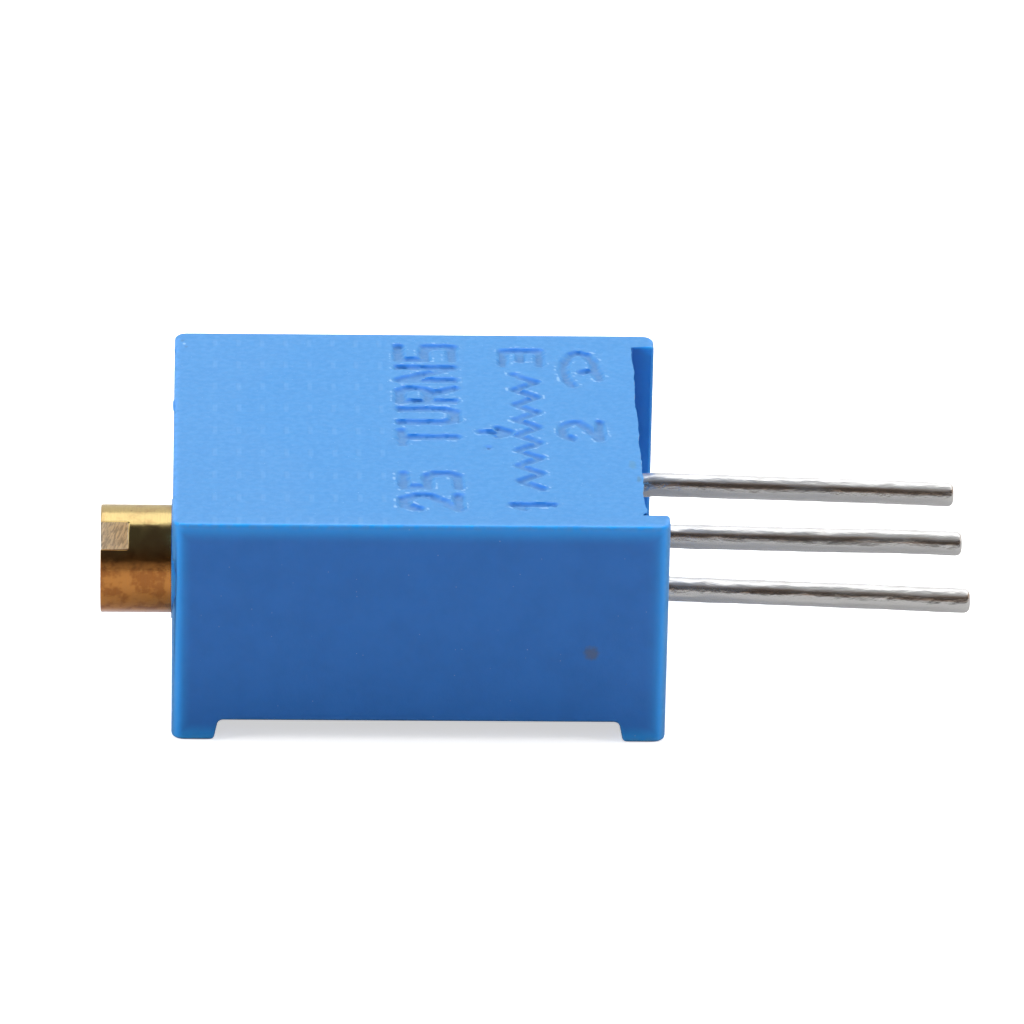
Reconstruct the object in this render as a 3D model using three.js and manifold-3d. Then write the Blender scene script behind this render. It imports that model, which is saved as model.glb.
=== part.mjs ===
// A multi-turn trimmer potentiometer, lying on its back: a moulded case, a brass adjusting
// screw with a worm thread, a nylon worm wheel with a spring wiper, a ceramic element and
// three round leads. Millimetres, +Z up. +X runs from the screw to the leads.
import * as THREE from "three";
import { mergeVertices } from "three/addons/utils/BufferGeometryUtils.js";
import Module from "manifold-3d";

const wasm = await Module();
wasm.setup();

// ---------------------------------------------------------------- driving dimensions

// The case, measured from its screw face (x = 0), its mid-plane (y = 0) and its feet (z = 0).
const CASE = {
  length: 10.03, // with the board standoffs
  width: 9.53,
  height: 4.83, // with the back feet
  cornerRadius: 0.25,
  standoff: 0.5,
  standoffWall: 0.62,
  footHeight: 0.44,
  footTop: 0.95,
  footTaper: 0.09,
  footFillet: 0.1,
};
const CAVITY = { x0: 1.0, x1: 8.85, halfWidth: 4.145, top: 4.33 };
const LEDGE_Z = 2.08; // underside of the bearing blocks and the ledge that locate the element
const LEDGE_Y = 3.75;
const POTTED_FACE = CASE.length - CASE.standoff;

// The adjusting screw turns about a line along X.
const SCREW = {
  y: -3.45,
  z: 3.45,
  tip: -1.48,
  headRadius: 1.095,
  headEnd: 0.3,
  shankRadius: 0.89,
  ringGroove: { x0: 0.55, x1: 0.95, radius: 0.575 },
  clipGroove: { x0: 1.35, x1: 1.7, radius: 0.5 },
  shankEnd: 2.0,
  journal: { x0: 7.0, x1: 8.15, radius: 0.42 },
  slotWidth: 0.6,
  slotDepth: 0.56,
  slotAngle: THREE.MathUtils.degToRad(51), // above the -Y direction
  chamfer: 0.05,
};
const BORE = {
  radius: 0.93,
  end: 7.2,
  counterbore: 1.13,
  counterboreDepth: 0.36,
  bearingRadius: 0.46,
  bearingEnd: 8.25,
};
const BLOCKS = { near: 2.05, far: 7.2, innerY: -2.3, farZ: 2.78 };

// Worm and wheel: one start, 32 teeth.
const TEETH = 32;
const WHEEL = {
  x: 4.5,
  pitchRadius: 3.0,
  addendum: 0.16,
  dedendum: 0.24,
  thickness: 1.0,
  toothThickness: 0.26,
  pressureAngle: THREE.MathUtils.degToRad(20),
  boreRadius: 0.76,
  rimRadius: 2.5,
  hubRadius: 1.95,
  recess: 0.3,
};
const WORM = {
  pitchRadius: 0.7,
  addendum: 0.18,
  rootRadius: 0.48,
  x0: 2.3,
  x1: 6.7,
  sunk: 0.06, // how far the thread's foot lies inside the root
  startRise: 0.2, // its height at each end, as a share
  stepsPerTurn: 16,
};
const LEAD = (2 * Math.PI * WHEEL.pitchRadius) / TEETH;
WHEEL.y = SCREW.y + WORM.pitchRadius + WHEEL.pitchRadius;
WHEEL.z0 = SCREW.z - WHEEL.thickness / 2;
WHEEL.z1 = SCREW.z + WHEEL.thickness / 2;
const HALF_TRAVEL = THREE.MathUtils.degToRad(140.625); // 12.5 turns of the screw
const PIVOT = { radius: 0.7, end: 3.05 };
const STOP = {
  inner: 1.15,
  outer: 1.85,
  wheelHalfAngle: THREE.MathUtils.degToRad(8),
  clearAngle: THREE.MathUtils.degToRad(1.5),
  gap: 0.07,
};

// The element and what is printed on it.
const ELEMENT = { x0: 1.1, x1: 8.75, halfWidth: 4.05, top: 2.05, thickness: 0.6 };
const FILM = 0.04;
const TRACK = { inner: 1.9, outer: 2.6, halfGap: THREE.MathUtils.degToRad(35) };
const COLLECTOR = { inner: 0.35, outer: 1.05, stripWidth: 0.6 };
const PAD = { x0: 7.75, x1: 8.65, halfWidth: 0.45 };
const TERMINATION = {
  narrow: THREE.MathUtils.degToRad(20),
  gap: THREE.MathUtils.degToRad(1.15), // between the track's end and the print
  inset: 0.35,
  stripWidth: 0.7,
  leadWidth: 0.6,
};

// The wiper: a stamped plate with fingers that press on the prints.
const WIPER = {
  plateZ: 2.85,
  thickness: 0.08,
  plateInner: 0.95,
  plateOuter: 1.8,
  contactZ: ELEMENT.top + FILM + 0.02,
  fingerWidth: 0.1,
  fingerPitch: 0.135,
  reach: 1.05,
  heel: 0.3,
  toe: 0.14,
  trackFingers: { count: 5, radius: 2.25 },
  collectorFingers: { count: 4, radius: 0.7 },
  outerTab: { inner: 1.2, outer: 2.56, length: 0.48 },
  innerTab: { inner: 0.42, outer: 0.98, length: 0.35 },
};
const STAKE = { radius: 0.2, hole: 0.23, length: 0.17, offset: 1.38 };

// The leads.
const PIN = {
  radius: 0.255,
  pitch: 2.54,
  z: 2.36,
  x0: 7.92,
  x1: 16.3,
  rootChamfer: 0.06,
  tip: [[0.12, 0], [0.036, 0.021], [0, 0.096]], // back from the end, in from the radius
  droop: [0.245, 0.115, 0.14], // how far each tip hangs below the root
  bendLength: 0.6,
  bendSteps: 4,
};
const SOLDER = { x: 8.2, length: 0.47, width: 0.42, height: 0.34, gap: 0.012 };

// The sealing resin.
const RESIN = { z0: 0.54, gap: 0.03, leadGap: 0.015, overlap: 0.08 };
const NOTCH = { halfWidth: 0.42 };

const RING = { tube: 0.16, gap: 0.015, sides: 8, turns: 28 };
const CLIP = { thickness: 0.25, width: 1.7, z0: 2.2, z1: 3.95, gap: 0.03 };

// Marks moulded into the front of the case: each has its place on it and its strokes' width.
const MARK = { depth: 0.07, stroke: 0.19 };
const LEGEND = { text: "25 TURNS", x: 5.9, y0: -4.15, y1: 4.3, height: 1.34, stroke: 0.23 };
const LETTER_SHARE = { before: 0.2, width: 0.6 }; // of the room for each letter
const ZIGZAG = { x0: 7.05, x1: 7.5, y0: -2.95, y1: 2.7, halfWaves: 15, stroke: 0.17 };
const WIPER_ARROW = { y: -0.18, tail: 6.32, tip: 6.9, barb: 0.24, halfWidth: 0.2 };
const TURN_ARROW = { x: 8.43, y: 2.95, radiusX: 0.34, radiusY: 0.88, from: -60, to: 180, steps: 8 };
const TURN_BARBS = [[-0.28, -0.1], [0.06, -0.42]]; // from the turning arrow's tip
const DIGITS = [
  { digit: "1", x: 7.78, y: -4.05, height: 0.98, width: 0.6 },
  { digit: "3", x: 7.7, y: 3.2, height: 0.95, width: 0.72 },
  { digit: "2", x: 8.85, y: -0.5, height: 0.95, width: 0.82 },
];

const ROUND = 40; // facets of a large round face
const SMALL_ROUND = 16;
const OVERSHOOT = 1; // how far a cutter runs past what it cuts
const RUN_IN = 0.1; // how far a joined piece runs into the one that it joins

// ------------------------------------------------------------------------- materials

const finish = (color, roughness, metalness) =>
  new THREE.MeshStandardMaterial({ color, roughness, metalness });

const MATERIALS = {
  caseBlue: finish(0x3a86d6, 0.45, 0),
  brass: finish(0xc89a45, 0.3, 1),
  tinned: finish(0xb9b6ae, 0.35, 1),
  silicone: finish(0xb5482c, 0.7, 0),
  bronze: finish(0xb08050, 0.4, 1),
  nylon: finish(0xece8dc, 0.5, 0),
  ceramic: finish(0xf1efe8, 0.6, 0),
  cermet: finish(0x2b2d30, 0.6, 0),
  silverPrint: finish(0xb8bab8, 0.5, 1),
  solder: finish(0xa9abac, 0.4, 1),
  resin: finish(0x23456e, 0.35, 0),
};

// ------------------------------------------------------------------- solids and cuts

// A closed geometry as a solid that can be joined and cut.
function solidOf(geometry) {
  const bare = geometry.index ? geometry.toNonIndexed() : geometry.clone();
  bare.deleteAttribute("normal");
  bare.deleteAttribute("uv");
  const merged = mergeVertices(bare, 1e-4);
  return new wasm.Manifold(
    new wasm.Mesh({
      numProp: 3,
      vertProperties: merged.attributes.position.array,
      triVerts: new Uint32Array(merged.index.array),
    }),
  );
}

// A solid as a geometry with flat-shaded faces.
function geometryOf(solid) {
  const mesh = solid.getMesh();
  const shared = new THREE.BufferGeometry();
  shared.setAttribute("position", new THREE.BufferAttribute(mesh.vertProperties, 3));
  shared.setIndex(new THREE.BufferAttribute(mesh.triVerts, 1));
  const flat = shared.toNonIndexed();
  flat.computeVertexNormals();
  return flat;
}

const join = (solids) => solids.reduce((whole, next) => whole.add(next));
const cut = (solid, cutters) => cutters.reduce((left, next) => left.subtract(next), solid);

// A box from its lowest to its highest corner.
function box(x0, x1, y0, y1, z0, z1) {
  const geometry = new THREE.BoxGeometry(x1 - x0, y1 - y0, z1 - z0);
  geometry.translate((x0 + x1) / 2, (y0 + y1) / 2, (z0 + z1) / 2);
  return solidOf(geometry);
}

// A cylinder along X, its first facet's corner on the +Y side.
function rodX(radius, x0, x1, y, z, sides = ROUND) {
  const geometry = new THREE.CylinderGeometry(radius, radius, x1 - x0, sides);
  geometry.rotateZ(-Math.PI / 2);
  geometry.translate((x0 + x1) / 2, y, z);
  return solidOf(geometry);
}

// A cylinder along Z.
function rodZ(radius, x, y, z0, z1, sides = ROUND) {
  const geometry = new THREE.CylinderGeometry(radius, radius, z1 - z0, sides);
  geometry.rotateX(Math.PI / 2);
  geometry.translate(x, y, (z0 + z1) / 2);
  return solidOf(geometry);
}

// An outline in the XY plane, raised from z0 to z1.
function slab(shape, z0, z1, curveSegments = 8) {
  const geometry = new THREE.ExtrudeGeometry(shape, {
    depth: z1 - z0,
    bevelEnabled: false,
    curveSegments,
  });
  geometry.translate(0, 0, z0);
  return solidOf(geometry);
}

// A sector of a ring about (x, y), between two angles.
function ringSector(x, y, inner, outer, from, to) {
  const shape = new THREE.Shape();
  shape.absarc(x, y, outer, from, to, false);
  shape.absarc(x, y, inner, to, from, true);
  shape.closePath();
  return shape;
}

// A turned piece about the screw's axis, from [x, radius] pairs that start and end on the axis.
function turnedX(profile, sides = ROUND) {
  const points = profile.map(([x, radius]) => new THREE.Vector2(radius, x));
  const geometry = new THREE.LatheGeometry(points, sides);
  geometry.rotateZ(-Math.PI / 2);
  geometry.translate(0, SCREW.y, SCREW.z);
  return solidOf(geometry);
}

// ------------------------------------------------------------------------------ marks

// Letters and digits as strokes on a cell one unit square, from the lower left corner.
const GLYPHS = {
  1: [[[0.25, 0.75], [0.55, 1], [0.55, 0]]],
  2: [[[0, 0.75], [0.25, 1], [0.75, 1], [1, 0.75], [1, 0.55], [0, 0], [1, 0]]],
  3: [[[0, 1], [1, 1], [1, 0], [0, 0]], [[0.35, 0.52], [1, 0.52]]],
  5: [[[1, 1], [0, 1], [0, 0.55], [0.8, 0.55], [1, 0.4], [1, 0.15], [0.8, 0], [0, 0]]],
  T: [[[0, 1], [1, 1]], [[0.5, 1], [0.5, 0]]],
  U: [[[0, 1], [0, 0.2], [0.2, 0], [0.8, 0], [1, 0.2], [1, 1]]],
  R: [[[0, 0], [0, 1], [0.8, 1], [1, 0.85], [1, 0.6], [0.8, 0.48], [0, 0.48]],
    [[0.5, 0.48], [1, 0]]],
  N: [[[0, 0], [0, 1], [1, 0], [1, 1]]],
  S: [[[1, 1], [0, 1], [0, 0.52], [1, 0.52], [1, 0], [0, 0]]],
};

// A stroke from a to b as a shallow cutter, with square ends that cover its corners.
function strokeCutter([ax, ay], [bx, by], width) {
  const length = Math.hypot(bx - ax, by - ay) + width;
  const geometry = new THREE.BoxGeometry(length, width, MARK.depth + OVERSHOOT);
  geometry.rotateZ(Math.atan2(by - ay, bx - ax));
  const z = CASE.height - MARK.depth + (MARK.depth + OVERSHOOT) / 2;
  geometry.translate((ax + bx) / 2, (ay + by) / 2, z);
  return solidOf(geometry);
}

const polylineCutters = (points, width) =>
  points.slice(1).map((point, i) => strokeCutter(points[i], point, width));

// A character whose top points to the screw end: its baseline lies at x, its start at y.
function characterCutters(character, x, y, height, width, stroke) {
  const place = ([u, v]) => [x - stroke / 2 - v * (height - stroke), y + u * width];
  return GLYPHS[character].flatMap((line) => polylineCutters(line.map(place), stroke));
}

function legendCutters({ text, x, y0, y1, height, stroke }) {
  const pitch = (y1 - y0) / text.length;
  const width = pitch * LETTER_SHARE.width;
  const start = (i) => y0 + (i + LETTER_SHARE.before) * pitch;
  return [...text].flatMap((character, i) =>
    character === " " ? [] : characterCutters(character, x, start(i), height, width, stroke));
}

// The resistor sign: a zigzag across the front.
function zigzagCutters({ x0, x1, y0, y1, halfWaves, stroke }) {
  const step = (y1 - y0) / halfWaves;
  const wave = Array.from({ length: halfWaves + 1 }, (_, i) => [i % 2 ? x0 : x1, y0 + i * step]);
  return polylineCutters(wave, stroke);
}

// The arrow of the resistor's wiper.
function wiperArrowCutters({ y, tail, tip, barb, halfWidth }) {
  const head = [
    [tip - barb, y - halfWidth],
    [tip, y],
    [tip - barb, y + halfWidth],
  ];
  return [[[tail, y], [tip, y]], head].flatMap((line) => polylineCutters(line, MARK.stroke));
}

// The arrow that shows which way the screw turns.
function turnArrowCutters({ x, y, radiusX, radiusY, from, to, steps }) {
  const arc = Array.from({ length: steps + 1 }, (_, i) => {
    const angle = THREE.MathUtils.degToRad(from + (i * (to - from)) / steps);
    return [x - radiusX * Math.cos(angle), y + radiusY * Math.sin(angle)];
  });
  const tip = arc.at(-1);
  const [first, second] = TURN_BARBS.map(([dx, dy]) => [tip[0] + dx, tip[1] + dy]);
  return [arc, [first, tip, second]].flatMap((line) => polylineCutters(line, MARK.stroke));
}

const markCutters = () => [
  ...legendCutters(LEGEND),
  ...zigzagCutters(ZIGZAG),
  ...wiperArrowCutters(WIPER_ARROW),
  ...turnArrowCutters(TURN_ARROW),
  ...DIGITS.flatMap(({ digit, x, y, height, width }) =>
    characterCutters(digit, x, y, height, width, MARK.stroke)),
];

// ------------------------------------------------------------------------------- case

function roundedRectangle(x0, x1, y0, y1, radius) {
  const shape = new THREE.Shape();
  shape.absarc(x1 - radius, y1 - radius, radius, 0, Math.PI / 2, false);
  shape.absarc(x0 + radius, y1 - radius, radius, Math.PI / 2, Math.PI, false);
  shape.absarc(x0 + radius, y0 + radius, radius, Math.PI, 1.5 * Math.PI, false);
  shape.absarc(x1 - radius, y0 + radius, radius, 1.5 * Math.PI, 2 * Math.PI, false);
  shape.closePath();
  return shape;
}

// What is taken away under the case to leave a foot across each end.
function underside() {
  const x0 = CASE.footTop;
  const x1 = CASE.length - CASE.footTop;
  const z = CASE.footHeight;
  const r = CASE.footFillet;
  const shape = new THREE.Shape();
  shape.moveTo(x0 - 2 * CASE.footTaper, -z);
  shape.lineTo(x1 + 2 * CASE.footTaper, -z);
  shape.lineTo(x1 + CASE.footTaper, 0);
  shape.lineTo(x1, z - r);
  shape.absarc(x1 - r, z - r, r, 0, Math.PI / 2, false);
  shape.absarc(x0 + r, z - r, r, Math.PI / 2, Math.PI, false);
  shape.lineTo(x0 - CASE.footTaper, 0);
  shape.closePath();
  const geometry = new THREE.ExtrudeGeometry(shape, {
    depth: CASE.width + 2 * OVERSHOOT,
    bevelEnabled: false,
    curveSegments: 4,
  });
  geometry.rotateX(Math.PI / 2);
  geometry.translate(0, CASE.width / 2 + OVERSHOOT, 0);
  return solidOf(geometry);
}

// The hollow, which opens at the back, less the moulded blocks that hold the screw.
function hollow() {
  const { x0, x1, halfWidth, top } = CAVITY;
  const whole = box(x0, x1, -halfWidth, halfWidth, -OVERSHOOT, top);
  const [low, high] = [x0 - OVERSHOOT, x1 + OVERSHOOT];
  const side = halfWidth + OVERSHOOT;
  const ceiling = top + OVERSHOOT;
  return cut(whole, [
    box(low, BLOCKS.near, -side, BLOCKS.innerY, LEDGE_Z, ceiling),
    box(BLOCKS.far, high, -side, BLOCKS.innerY, BLOCKS.farZ, ceiling),
    box(low, high, LEDGE_Y, side, LEDGE_Z, ceiling),
  ]);
}

function screwBore() {
  const { y, z } = SCREW;
  return [
    rodX(BORE.counterbore, -OVERSHOOT, BORE.counterboreDepth, y, z),
    rodX(BORE.radius, 0, BORE.end, y, z),
    rodX(BORE.bearingRadius, BORE.end - RUN_IN, BORE.bearingEnd, y, z, SMALL_ROUND),
  ];
}

function clipSlot() {
  const middle = (SCREW.clipGroove.x0 + SCREW.clipGroove.x1) / 2;
  const half = CLIP.thickness / 2 + CLIP.gap;
  const halfWidth = CLIP.width / 2 + CLIP.gap;
  return box(middle - half, middle + half, SCREW.y - halfWidth, SCREW.y + halfWidth,
    LEDGE_Z - RUN_IN, CLIP.z1 + CLIP.gap);
}

const pinPlaces = [-1, 0, 1].map((step) => step * PIN.pitch);

// A notch in the lead-side wall, round over the lead.
function notch(y, halfWidth, x0, x1, z0) {
  return join([
    box(x0, x1, y - halfWidth, y + halfWidth, z0, PIN.z),
    rodX(halfWidth, x0, x1, y, PIN.z, SMALL_ROUND),
  ]);
}

const pivotPost = () =>
  rodZ(PIVOT.radius, WHEEL.x, WHEEL.y, PIVOT.end, CAVITY.top + RUN_IN);

// The stop under the case's front wall, opposite the wheel's lug at mid travel.
function caseStop() {
  const half = Math.PI - HALF_TRAVEL - STOP.wheelHalfAngle - STOP.clearAngle;
  const sector = ringSector(WHEEL.x, WHEEL.y, STOP.inner, STOP.outer, -half, half);
  return slab(sector, WHEEL.z1 + STOP.gap, CAVITY.top + RUN_IN);
}

function makeCase() {
  const { length, width, height, cornerRadius, standoffWall } = CASE;
  const outline = roundedRectangle(0, length, -width / 2, width / 2, cornerRadius);
  const seatHalf = width / 2 - standoffWall;
  const open = cut(slab(outline, 0, height, 4), [
    underside(),
    box(POTTED_FACE, length + OVERSHOOT, -seatHalf, seatHalf, -OVERSHOOT, height + OVERSHOOT),
    hollow(),
    ...pinPlaces.map((y) => notch(y, NOTCH.halfWidth, CAVITY.x1 - RUN_IN, length, -OVERSHOOT)),
  ]);
  const fitted = cut(open, [...screwBore(), clipSlot()]);
  return cut(join([fitted, pivotPost(), caseStop()]), markCutters());
}

// ------------------------------------------------------------------------------ screw

// The worm's thread: a trapezoid swept along a helix whose crest faces the wheel at its middle.
function wormThread() {
  const { x0, x1, pitchRadius, addendum, rootRadius, sunk, startRise, stepsPerTurn } = WORM;
  const crest = pitchRadius + addendum;
  const root = rootRadius - sunk;
  const slope = Math.tan(WHEEL.pressureAngle);
  const halfAt = (radius) => WHEEL.toothThickness / 2 - (radius - pitchRadius) * slope;
  const steps = Math.round(((x1 - x0) / LEAD) * stepsPerTurn);
  const phase = (2 * Math.PI * (x0 - WHEEL.x)) / LEAD;
  const runOut = stepsPerTurn / 2;
  const positions = [];
  for (let i = 0; i <= steps; i++) {
    const turned = (2 * Math.PI * i) / stepsPerTurn;
    const angle = phase + turned;
    const middle = x0 + (LEAD * i) / stepsPerTurn;
    const rise = Math.min(1, startRise + Math.min(i, steps - i) / runOut);
    const top = root + (crest - root) * rise;
    const section = [
      [middle - halfAt(root), root],
      [middle - halfAt(top), top],
      [middle + halfAt(top), top],
      [middle + halfAt(root), root],
    ];
    for (const [x, radius] of section)
      positions.push(x, SCREW.y + radius * Math.cos(angle), SCREW.z + radius * Math.sin(angle));
  }
  const index = [];
  const corners = 4;
  for (let i = 0; i < steps; i++)
    for (let k = 0; k < corners; k++) {
      const a = i * corners + k;
      const b = i * corners + ((k + 1) % corners);
      index.push(a, a + corners, b, b, a + corners, b + corners);
    }
  const last = steps * corners;
  index.push(0, 1, 2, 0, 2, 3, last, last + 2, last + 1, last, last + 3, last + 2);
  const geometry = new THREE.BufferGeometry();
  geometry.setAttribute("position", new THREE.Float32BufferAttribute(positions, 3));
  geometry.setIndex(index);
  return solidOf(geometry);
}

function screwdriverSlot() {
  const long = 2 * SCREW.headRadius + OVERSHOOT;
  const geometry = new THREE.BoxGeometry(SCREW.slotDepth + OVERSHOOT, long, SCREW.slotWidth);
  geometry.translate((SCREW.slotDepth - OVERSHOOT) / 2, 0, 0);
  geometry.rotateX(-SCREW.slotAngle);
  geometry.translate(SCREW.tip, SCREW.y, SCREW.z);
  return solidOf(geometry);
}

function makeScrew() {
  const { tip, headRadius, headEnd, shankRadius, shankEnd, chamfer } = SCREW;
  const { ringGroove, clipGroove, journal } = SCREW;
  const body = turnedX([
    [tip, 0],
    [tip, headRadius - chamfer],
    [tip + chamfer, headRadius],
    [headEnd, headRadius],
    [headEnd, shankRadius],
    [ringGroove.x0, shankRadius],
    [ringGroove.x0, ringGroove.radius],
    [ringGroove.x1, ringGroove.radius],
    [ringGroove.x1, shankRadius],
    [clipGroove.x0, shankRadius],
    [clipGroove.x0, clipGroove.radius],
    [clipGroove.x1, clipGroove.radius],
    [clipGroove.x1, shankRadius],
    [shankEnd - chamfer, shankRadius],
    [shankEnd, shankRadius - chamfer],
    [shankEnd, WORM.rootRadius],
    [journal.x0, WORM.rootRadius],
    [journal.x0, journal.radius],
    [journal.x1 - chamfer, journal.radius],
    [journal.x1, journal.radius - chamfer],
    [journal.x1, 0],
  ]);
  return cut(join([body, wormThread()]), [screwdriverSlot()]);
}

function makeRing() {
  const { x0, x1, radius } = SCREW.ringGroove;
  const middle = radius + RING.tube + RING.gap;
  const geometry = new THREE.TorusGeometry(middle, RING.tube, RING.sides, RING.turns);
  geometry.rotateY(Math.PI / 2);
  geometry.translate((x0 + x1) / 2, SCREW.y, SCREW.z);
  return solidOf(geometry);
}

// A U-shaped plate that straddles the screw's groove.
function makeClip() {
  const { thickness, width, z0, z1, gap } = CLIP;
  const middle = (SCREW.clipGroove.x0 + SCREW.clipGroove.x1) / 2;
  const x0 = middle - thickness / 2;
  const x1 = middle + thickness / 2;
  const throat = SCREW.clipGroove.radius + gap;
  const plate = box(x0, x1, SCREW.y - width / 2, SCREW.y + width / 2, z0, z1);
  return cut(plate, [
    rodX(throat, x0 - 1, x1 + 1, SCREW.y, SCREW.z, SMALL_ROUND),
    box(x0 - 1, x1 + 1, SCREW.y - throat, SCREW.y + throat, SCREW.z, z1 + 1),
  ]);
}

// ------------------------------------------------------------------------ worm wheel

// How far an involute flank lies from the middle of its tooth, as an angle, at a radius.
function flankAngle(radius) {
  const baseRadius = WHEEL.pitchRadius * Math.cos(WHEEL.pressureAngle);
  const involute = (angle) => Math.tan(angle) - angle;
  const here = Math.acos(Math.min(1, baseRadius / radius));
  const atPitch = WHEEL.toothThickness / 2 / WHEEL.pitchRadius;
  return atPitch + involute(WHEEL.pressureAngle) - involute(here);
}

function toothedOutline() {
  const root = WHEEL.pitchRadius - WHEEL.dedendum;
  const tip = WHEEL.pitchRadius + WHEEL.addendum;
  const radii = [root, WHEEL.pitchRadius, tip];
  const flank = radii.map((radius) => [radius, flankAngle(radius)]);
  const points = [];
  for (let i = 0; i < TEETH; i++) {
    const middle = -Math.PI / 2 + ((i + 0.5) * 2 * Math.PI) / TEETH;
    const rising = flank.map(([radius, half]) => [radius, middle - half]);
    const falling = flank.map(([radius, half]) => [radius, middle + half]).reverse();
    for (const [radius, angle] of [...rising, ...falling])
      points.push(new THREE.Vector2(radius * Math.cos(angle), radius * Math.sin(angle)));
  }
  return new THREE.Shape(points);
}

// The toothed disc, its teeth slanted to follow the worm's thread.
function toothedDisc() {
  const geometry = new THREE.ExtrudeGeometry(toothedOutline(), {
    depth: WHEEL.thickness,
    steps: 2,
    bevelEnabled: false,
  });
  geometry.translate(0, 0, -WHEEL.thickness / 2);
  const slant = LEAD / (2 * Math.PI * WORM.pitchRadius) / WHEEL.pitchRadius;
  const position = geometry.attributes.position;
  for (let i = 0; i < position.count; i++) {
    const angle = slant * position.getZ(i);
    const x = position.getX(i);
    const y = position.getY(i);
    position.setX(i, x * Math.cos(angle) - y * Math.sin(angle));
    position.setY(i, x * Math.sin(angle) + y * Math.cos(angle));
  }
  geometry.translate(WHEEL.x, WHEEL.y, SCREW.z);
  return solidOf(geometry);
}

// The pegs under the wheel that hold the wiper.
const stakePlaces = [-1, 1].map((side) => [WHEEL.x, WHEEL.y + side * STAKE.offset]);

function makeWheel() {
  const lug = ringSector(WHEEL.x, WHEEL.y, STOP.inner, STOP.outer,
    Math.PI - STOP.wheelHalfAngle, Math.PI + STOP.wheelHalfAngle);
  const moat = cut(
    rodZ(WHEEL.rimRadius, WHEEL.x, WHEEL.y, WHEEL.z1 - WHEEL.recess, CASE.height),
    [rodZ(WHEEL.hubRadius, WHEEL.x, WHEEL.y, 0, CASE.height + OVERSHOOT)],
  );
  const disc = cut(toothedDisc(), [
    moat,
    rodZ(WHEEL.boreRadius, WHEEL.x, WHEEL.y, 0, CASE.height),
  ]);
  return join([
    disc,
    slab(lug, WHEEL.z1 - RUN_IN, CAVITY.top - STOP.gap),
    ...stakePlaces.map(([x, y]) =>
      rodZ(STAKE.radius, x, y, WHEEL.z0 - STAKE.length, WHEEL.z0 + RUN_IN, SMALL_ROUND)),
  ]);
}

// A finger seen from its side, from the plate down to the print, as an outline in (along, z).
function fingerOutline() {
  const { thickness, contactZ, reach, heel, toe } = WIPER;
  const top = WIPER.plateZ + thickness;
  const fold = thickness / 3;
  const shape = new THREE.Shape();
  shape.moveTo(-heel, WIPER.plateZ);
  shape.lineTo(0, WIPER.plateZ);
  shape.lineTo(reach - toe, contactZ);
  shape.lineTo(reach + toe, contactZ + toe);
  shape.lineTo(reach + toe, contactZ + toe + thickness);
  shape.lineTo(reach - toe + fold, contactZ + thickness);
  shape.lineTo(fold, top);
  shape.lineTo(-heel, top);
  shape.closePath();
  return shape;
}

// Fingers side by side, on the -X side of the wheel's axis, pointing along +Y or -Y.
function fingers(row, direction) {
  const outline = fingerOutline();
  return Array.from({ length: row.count }, (_, i) => {
    const radius = row.radius + (i - (row.count - 1) / 2) * WIPER.fingerPitch;
    const geometry = new THREE.ExtrudeGeometry(outline, {
      depth: WIPER.fingerWidth,
      bevelEnabled: false,
    });
    geometry.translate(0, 0, -WIPER.fingerWidth / 2);
    geometry.rotateX(Math.PI / 2);
    geometry.rotateZ((direction * Math.PI) / 2);
    geometry.translate(WHEEL.x - radius, WHEEL.y - direction * WIPER.reach, 0);
    return solidOf(geometry);
  });
}

function makeWiper() {
  const { plateZ, thickness, plateInner, plateOuter, reach, outerTab, innerTab } = WIPER;
  const top = plateZ + thickness;
  const ring = rodZ(plateOuter, WHEEL.x, WHEEL.y, plateZ, top);
  const tab = (shape, y0, y1) =>
    box(WHEEL.x - shape.outer, WHEEL.x - shape.inner, WHEEL.y + y0, WHEEL.y + y1, plateZ, top);
  const plate = cut(ring, [
    rodZ(plateInner, WHEEL.x, WHEEL.y, 0, CASE.height),
    ...stakePlaces.map(([x, y]) => rodZ(STAKE.hole, x, y, 0, CASE.height, SMALL_ROUND)),
  ]);
  return join([
    plate,
    tab(outerTab, -reach - outerTab.length, -reach),
    tab(innerTab, reach, reach + innerTab.length),
    ...fingers(WIPER.trackFingers, 1),
    ...fingers(WIPER.collectorFingers, -1),
  ]);
}

// ---------------------------------------------------------------------------- element

const FILM_Z = ELEMENT.top + FILM / 8; // clear of the ceramic, so that the two don't cross
const film = (shape) => slab(shape, FILM_Z, ELEMENT.top + FILM, 16);

function rectangle(x0, x1, y0, y1) {
  const shape = new THREE.Shape();
  shape.moveTo(x0, y0);
  shape.lineTo(x1, y0);
  shape.lineTo(x1, y1);
  shape.lineTo(x0, y1);
  shape.closePath();
  return shape;
}

const padShape = (y) => rectangle(PAD.x0, PAD.x1, y - PAD.halfWidth, y + PAD.halfWidth);

function makeElement() {
  const { x0, x1, halfWidth, top, thickness } = ELEMENT;
  return box(x0, x1, -halfWidth, halfWidth, top - thickness, top);
}

function makeTrack() {
  const { inner, outer, halfGap } = TRACK;
  return film(
    ringSector(WHEEL.x, WHEEL.y, inner, outer, halfGap, 2 * Math.PI - halfGap),
  );
}

function makeCollector() {
  const { inner, outer, stripWidth } = COLLECTOR;
  const disc = new THREE.Shape().absarc(WHEEL.x, WHEEL.y, outer, 0, 2 * Math.PI, false);
  disc.holes.push(new THREE.Path().absarc(WHEEL.x, WHEEL.y, inner, 0, 2 * Math.PI, true));
  const strip = rectangle(
    WHEEL.x + outer - RUN_IN, PAD.x0 + RUN_IN,
    WHEEL.y - stripWidth / 2, WHEEL.y + stripWidth / 2);
  return join([film(disc), film(strip), film(padShape(0))]);
}

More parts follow.
